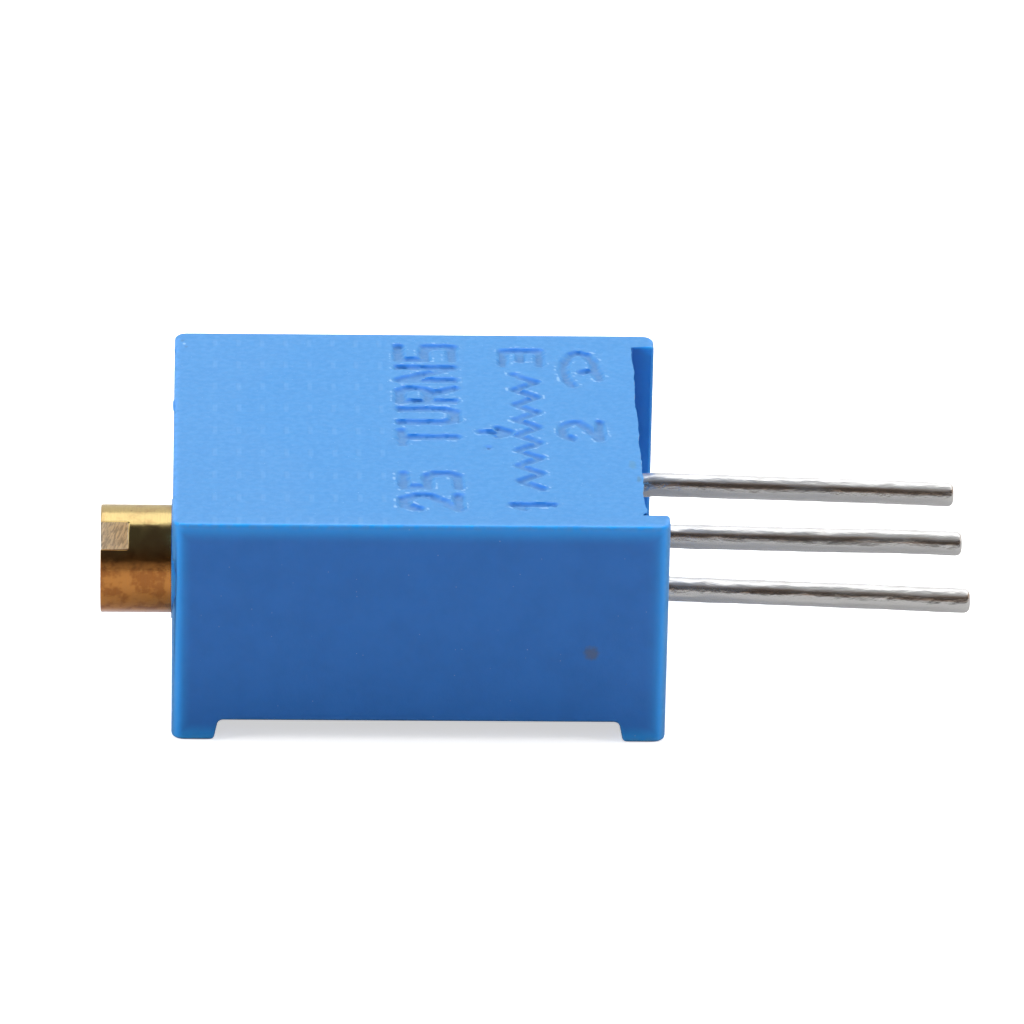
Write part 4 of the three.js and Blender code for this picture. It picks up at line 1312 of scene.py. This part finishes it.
@dataclass
class AdjustingScrew:
    """The brass screw: slotted head and grooved shank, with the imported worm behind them.

    A groove is given by where it starts, where it ends and the radius of its floor.
    """

    y: float = -3.45
    z: float = 3.45
    tip: float = -1.45
    head_radius: float = 1.095
    head_end: float = 0.3
    shank_radius: float = 0.89
    slot_width: float = 0.6
    slot_depth: float = 0.56
    slot_angle: float = 51.0
    seal_groove: Point = (0.55, 0.95, 0.575)
    clip_groove: Point = (1.35, 1.7, 0.5)
    worm_start: float = 1.9
    edge: float = 0.035

    def head_and_shank(self) -> Piece:
        """The turned part from the tip to just past the shank's last groove."""
        rings = [
            (self.tip, self.head_radius), (0.1, self.head_radius),
            (self.head_end, self.head_radius), (self.head_end, self.shank_radius),
        ]
        for start, end, floor_radius in (self.seal_groove, self.clip_groove):
            rings += [(start, self.shank_radius), (start, floor_radius), (end, floor_radius),
                      (end, self.shank_radius)]
        rings.append((self.worm_start + 0.05, self.shank_radius))
        stations = [Station(x, radius) for x, radius in rings]
        return turned("adjusting_screw_turned", stations, self.y, self.z, 128)

    def slot(self) -> Piece:
        """What the screwdriver slot takes away."""
        reach = 2 * self.head_radius
        half = self.slot_width / 2
        made = box("slot", (self.tip - 1, self.y - reach, self.z - half),
                   (self.tip + self.slot_depth, self.y + reach, self.z + half))
        turn = Matrix.Rotation(math.radians(-self.slot_angle), 4, "X")
        axis = Matrix.Translation((0, self.y, self.z))
        made.data.transform(axis @ turn @ axis.inverted())
        return made

    def worm(self) -> Piece:
        """The worm and its journal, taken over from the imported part."""
        made = copy_of(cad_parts["adjusting_screw"], "worm")
        origin = case_origin()
        made.parent = None
        made.hide_render = False
        made.data.transform(Matrix.Scale(1 / MM, 4) @ Matrix.Translation(-origin))
        tidy_mesh(made, 1e-3)
        select(made, Element.FACE, lambda f: True)
        bpy.ops.mesh.bisect(
            plane_co=(self.worm_start, self.y, self.z), plane_no=(1, 0, 0), use_fill=True, clear_inner=True
        )
        clear_selection()
        return made

    def build(self) -> Piece:
        """Makes the screw.

        Returns:
            The screw, in millimetres.
        """
        made = self.head_and_shank()
        combine(made, self.slot(), Join.CUT)
        soften(made, self.edge, 40, 3)
        combine(made, self.worm(), Join.ADD)
        tidy_mesh(made)
        return made

    def dress(self, made: Piece) -> None:
        """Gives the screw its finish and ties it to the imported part."""
        shade(made, 35)
        made.data.materials.clear()
        made.data.materials.append(TurnedBrass().make())
        deliver(made, SCREW_BODY, ["adjusting_screw"])


@dataclass
class Lead:
    """One round tinned lead, a little uneven and hanging a little towards its tip."""

    number: int
    y: float
    droop: float
    seed: float
    radius: float = 0.255
    z: float = 2.36
    start: float = 7.92
    leaves: float = 9.53
    end: float = 16.3
    bend: float = 0.6
    lift: float = 0.058

    def hang(self, x: float) -> float:
        """How far the lead's middle lies below its root at a place along it."""
        out = max(0.0, x - self.leaves)
        eased = out * out / (2 * self.bend) if out < self.bend else out - self.bend / 2
        return self.droop * eased / (self.end - self.leaves - self.bend / 2)

    def station(self, x: float) -> Station:
        """The lead's ring at a place along it, with the tin's unevenness."""
        free = min(1.0, max(0.0, (x - self.leaves) / 0.5))
        thick = noise.noise((x * 1.7, self.seed, 0.0)) * 0.008 * free
        aside = noise.noise((x * 0.45, self.seed, 4.0)) * 0.014 * free
        sway = noise.noise((x * 0.5, self.seed, 8.0)) * 0.014
        rise = (sway + self.lift) * free - self.hang(x)
        return Station(x, self.radius - 0.004 + thick, aside, rise)

    def build(self) -> Piece:
        """Draws the lead.

        Returns:
            The lead, in millimetres.
        """
        count = 72
        run = self.end - 0.2 - self.start
        places = [self.start + 0.05 + i * run / count for i in range(count + 1)]
        rings = [self.station(x) for x in places]
        tip = rings[-1]
        for out, share in ((0.05, 0.985), (0.09, 0.93), (0.12, 0.82), (0.14, 0.66), (0.15, 0.4)):
            rings.append(Station(tip.along + out, tip.radius * share, tip.aside, tip.rise))
        rings.insert(0, Station(self.start, self.radius - 0.06, 0, 0))
        return turned(f"lead_{self.number}_tinned", rings, self.y, self.z, 32)

    def dress(self, made: Piece, finish: bpy.types.Material) -> None:
        """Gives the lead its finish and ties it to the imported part."""
        shade(made, 50)
        made.data.materials.clear()
        made.data.materials.append(finish)
        deliver(made, BODY, [f"lead_{self.number}"])


@dataclass
class Leads:
    """The three leads, an even pitch apart."""

    pitch: float = 2.54
    droops: tuple[float, float, float] = (0.232, 0.131, 0.187)

    def make(self) -> None:
        """Builds and dresses the three leads."""
        finish = TinnedWire().make()
        for i, droop in enumerate(self.droops):
            lead = Lead(i + 1, (i - 1) * self.pitch, droop, 3.7 * i + 1.3)
            lead.dress(lead.build(), finish)


@dataclass
class SealingResin:
    """The resin poured into the back, with a plug round each lead."""

    low: Point = (1.03, -4.115, 0.54)
    high: Point = (8.82, 4.115, 1.42)
    plug_start: float = 8.77
    plug_end: float = 9.5
    notch: float = 0.39
    lead_z: float = 2.36
    lead_radius: float = 0.27
    lead_pitch: float = 2.54

    def bed(self) -> Piece:
        """The poured bed: its free face sinks a little between the walls."""
        made = box("sealing_resin_poured", self.low, self.high)
        select(made, Element.FACE, lambda f: f.normal.z < -0.9)
        bpy.ops.mesh.inset(thickness=0.12, depth=0)
        bpy.ops.mesh.inset(thickness=0.25, depth=0)
        bpy.ops.transform.translate(value=(0, 0, 0.035))
        bpy.ops.mesh.inset(thickness=0.6, depth=0)
        bpy.ops.transform.translate(value=(0, 0, 0.03))
        clear_selection()
        return made

    def plug(self, y: float) -> Piece:
        """The resin that fills one notch, round over the lead."""
        made = box("plug", (self.plug_start, y - self.notch, self.low[2]),
                   (self.plug_end, y + self.notch, self.lead_z))
        arch = rod("arch", self.notch, (self.plug_start, y, self.lead_z),
                   (self.plug_end, y, self.lead_z), 32)
        combine(made, arch, Join.ADD)
        return made

    def build(self) -> Piece:
        """Pours the resin.

        Returns:
            The resin, in millimetres.
        """
        made = self.bed()
        places = [step * self.lead_pitch for step in (-1, 0, 1)]
        for y in places:
            combine(made, self.plug(y), Join.ADD)
        tidy_mesh(made)
        for y in places:
            hole = rod("hole", self.lead_radius, (7.9, y, self.lead_z), (11, y, self.lead_z), 32)
            combine(made, hole, Join.CUT)
        soften(made, 0.03, 50, 2)
        tidy_mesh(made)
        return made

    def dress(self, made: Piece) -> None:
        """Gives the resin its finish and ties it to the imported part."""
        shade(made, 40)
        made.data.materials.clear()
        made.data.materials.append(PLAIN_FINISHES["resin"].make())
        deliver(made, BODY, ["sealing_resin"])


@dataclass
class InnerWorks:
    """The hidden working parts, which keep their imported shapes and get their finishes."""

    finishes: dict[str, str] = field(default_factory=lambda: {
        "screw_seal_ring": "silicone",
        "screw_retaining_clip": "spring_bronze",
        "worm_wheel": "nylon",
        "wiper_spring": "spring_bronze",
        "ceramic_element": "alumina",
        "resistive_track": "cermet",
        "collector_print": "silver_print",
        "termination_1": "silver_print",
        "termination_3": "silver_print",
        "solder_1": "solder",
        "solder_2": "solder",
        "solder_3": "solder",
    })

    def dress(self) -> None:
        """Gives each hidden part its finish."""
        made = {slot: PLAIN_FINISHES[slot].make() for slot in sorted(set(self.finishes.values()))}
        for name, slot in self.finishes.items():
            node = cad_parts[name]
            for place in node.material_slots:
                place.material = made[slot]
            log.info("%s: finished as %s", name, slot)


# -------------------------------------------------------------------------------- studio


@dataclass
class Studio:
    """The camera, the pale floor and the soft light."""

    azimuth: float = 1.998
    elevation: float = 24.891
    distance: float = 0.20264
    roll: float = 1.229
    lens: float = 345.47
    aim: Point = (-0.000426, 0.0, 0.000522)
    floor_size: float = 6.0
    floor_pale: Colour = (0.86, 0.86, 0.86)
    floor_dim: Colour = (0.50, 0.50, 0.50)
    floor_lift: float = 0.6
    room_light: float = 0.165
    room_seen: float = 1.1

    def camera(self) -> None:
        """Places the camera, aimed near the middle of the part's box."""
        low, high = CAD_BOX
        target = (low + high) / 2 + Vector(self.aim)
        azimuth, elevation, roll = map(math.radians, (self.azimuth, self.elevation, self.roll))
        flat = math.cos(elevation)
        ahead = Vector((math.sin(azimuth) * flat, math.cos(azimuth) * flat, -math.sin(elevation)))
        right = Vector((math.cos(azimuth), -math.sin(azimuth), 0))
        up = right.cross(ahead)
        rolled_right = math.cos(roll) * right + math.sin(roll) * up
        rolled_up = math.cos(roll) * up - math.sin(roll) * right
        data = bpy.data.cameras.new("camera")
        data.lens = self.lens
        data.sensor_width = 36
        data.clip_start, data.clip_end = 0.005, 20
        camera = bpy.data.objects.new("camera", data)
        bpy.context.scene.collection.objects.link(camera)
        turn = Matrix((rolled_right, rolled_up, -ahead)).transposed()
        camera.matrix_world = Matrix.Translation(target - ahead * self.distance) @ turn.to_4x4()
        bpy.context.scene.camera = camera

    def floor(self) -> None:
        """Lays the pale floor under the feet, brighter to the camera and clear from below."""
        clear_selection()
        bpy.ops.mesh.primitive_plane_add(size=self.floor_size)
        made = settle("floor")
        material = bpy.data.materials.new("floor")
        material.use_nodes = True
        r = Recipe(material.node_tree)
        pale = r.feed(r.node("ShaderNodeBsdfDiffuse"), Color=self.floor_pale)
        dim = r.feed(r.node("ShaderNodeBsdfDiffuse"), Color=self.floor_dim)
        lift = r.feed(r.node("ShaderNodeEmission"), Color=(1, 1, 1), Strength=self.floor_lift)
        both = r.node("ShaderNodeAddShader")
        r.put(both.inputs[0], pale.outputs[0])
        r.put(both.inputs[1], lift.outputs[0])
        path = r.node("ShaderNodeLightPath")
        above = r.choose(path.outputs["Is Camera Ray"], dim.outputs[0], both.outputs[0])
        below = r.node("ShaderNodeBsdfTransparent").outputs[0]
        side = r.node("ShaderNodeNewGeometry").outputs["Backfacing"]
        output = r.node("ShaderNodeOutputMaterial")
        r.put(output.inputs["Surface"], r.choose(side, above, below))
        made.data.materials.append(material)

    def softbox(self, name: str, place: Point, size: tuple[float, float], power: float) -> None:
        """Hangs a soft light that faces the part.

        Args:
            name: The light's name.
            place: Where it hangs, in metres.
            size: Its width and height.
            power: Its power in watts.
        """
        data = bpy.data.lights.new(name, "AREA")
        data.shape = "RECTANGLE"
        data.size, data.size_y = size
        data.energy = power
        made = bpy.data.objects.new(name, data)
        bpy.context.scene.collection.objects.link(made)
        made.location = place
        made.rotation_euler = Vector(place).to_track_quat("Z", "Y").to_euler()
        made.visible_glossy = False
        made.visible_camera = False

    def surroundings(self) -> None:
        """Sets the room: pale to the eye, with bands of light and dark in reflections."""
        world = bpy.data.worlds.new("room")
        bpy.context.scene.world = world
        world.use_nodes = True
        r = Recipe(world.node_tree)
        way = r.node("ShaderNodeTexCoord").outputs["Generated"]
        _, y, z = r.apart(way)
        round_x = r.math("DIVIDE", r.math("ARCTAN2", z, r.math("MULTIPLY", y, -1.0)), math.pi)
        ramp = r.node("ShaderNodeValToRGB")
        stops = [(0.0, 0.42), (0.06, 0.30), (0.11, 0.05), (0.56, 0.045), (0.59, 1.25), (0.76, 1.2),
                 (0.79, 0.62), (1.0, 0.60)]
        while len(ramp.color_ramp.elements) < len(stops):
            ramp.color_ramp.elements.new(0.5)
        for element, (position, level) in zip(ramp.color_ramp.elements, stops):
            element.position = position
            element.color = (level, level, level, 1)
        r.feed(ramp, Fac=round_x)
        mirrored = r.feed(r.node("ShaderNodeBackground"), Color=ramp.outputs["Color"], Strength=1.0)
        lit = r.feed(r.node("ShaderNodeBackground"), Color=(1, 1, 1), Strength=self.room_light)
        seen = r.feed(r.node("ShaderNodeBackground"), Color=(1, 1, 1), Strength=self.room_seen)
        path = r.node("ShaderNodeLightPath")
        inner = r.choose(path.outputs["Is Glossy Ray"], lit.outputs[0], mirrored.outputs[0])
        outer = r.choose(path.outputs["Is Camera Ray"], inner, seen.outputs[0])
        r.put(r.node("ShaderNodeOutputWorld").inputs["Surface"], outer)

    def build(self) -> None:
        """Sets up the whole studio."""
        bpy.context.scene.view_settings.view_transform = "Standard"
        self.camera()
        self.floor()
        self.surroundings()
        self.softbox("overhead", (0.0, 0.16, 0.26), (0.30, 0.22), 1.20)
        self.softbox("left", (-0.26, -0.02, 0.12), (0.16, 0.16), 0.70)
        self.softbox("right", (0.26, -0.02, 0.12), (0.16, 0.16), 0.56)


def main() -> None:
    """Builds the studio and every piece of the trimmer."""
    logging.basicConfig(level=logging.INFO, format="%(name)s: %(message)s")
    clear_selection()
    Studio().build()
    case = Case()
    case.dress(case.build())
    screw = AdjustingScrew()
    screw.dress(screw.build())
    Leads().make()
    resin = SealingResin()
    resin.dress(resin.build())
    InnerWorks().dress()


if __name__ == "__main__":
    main()
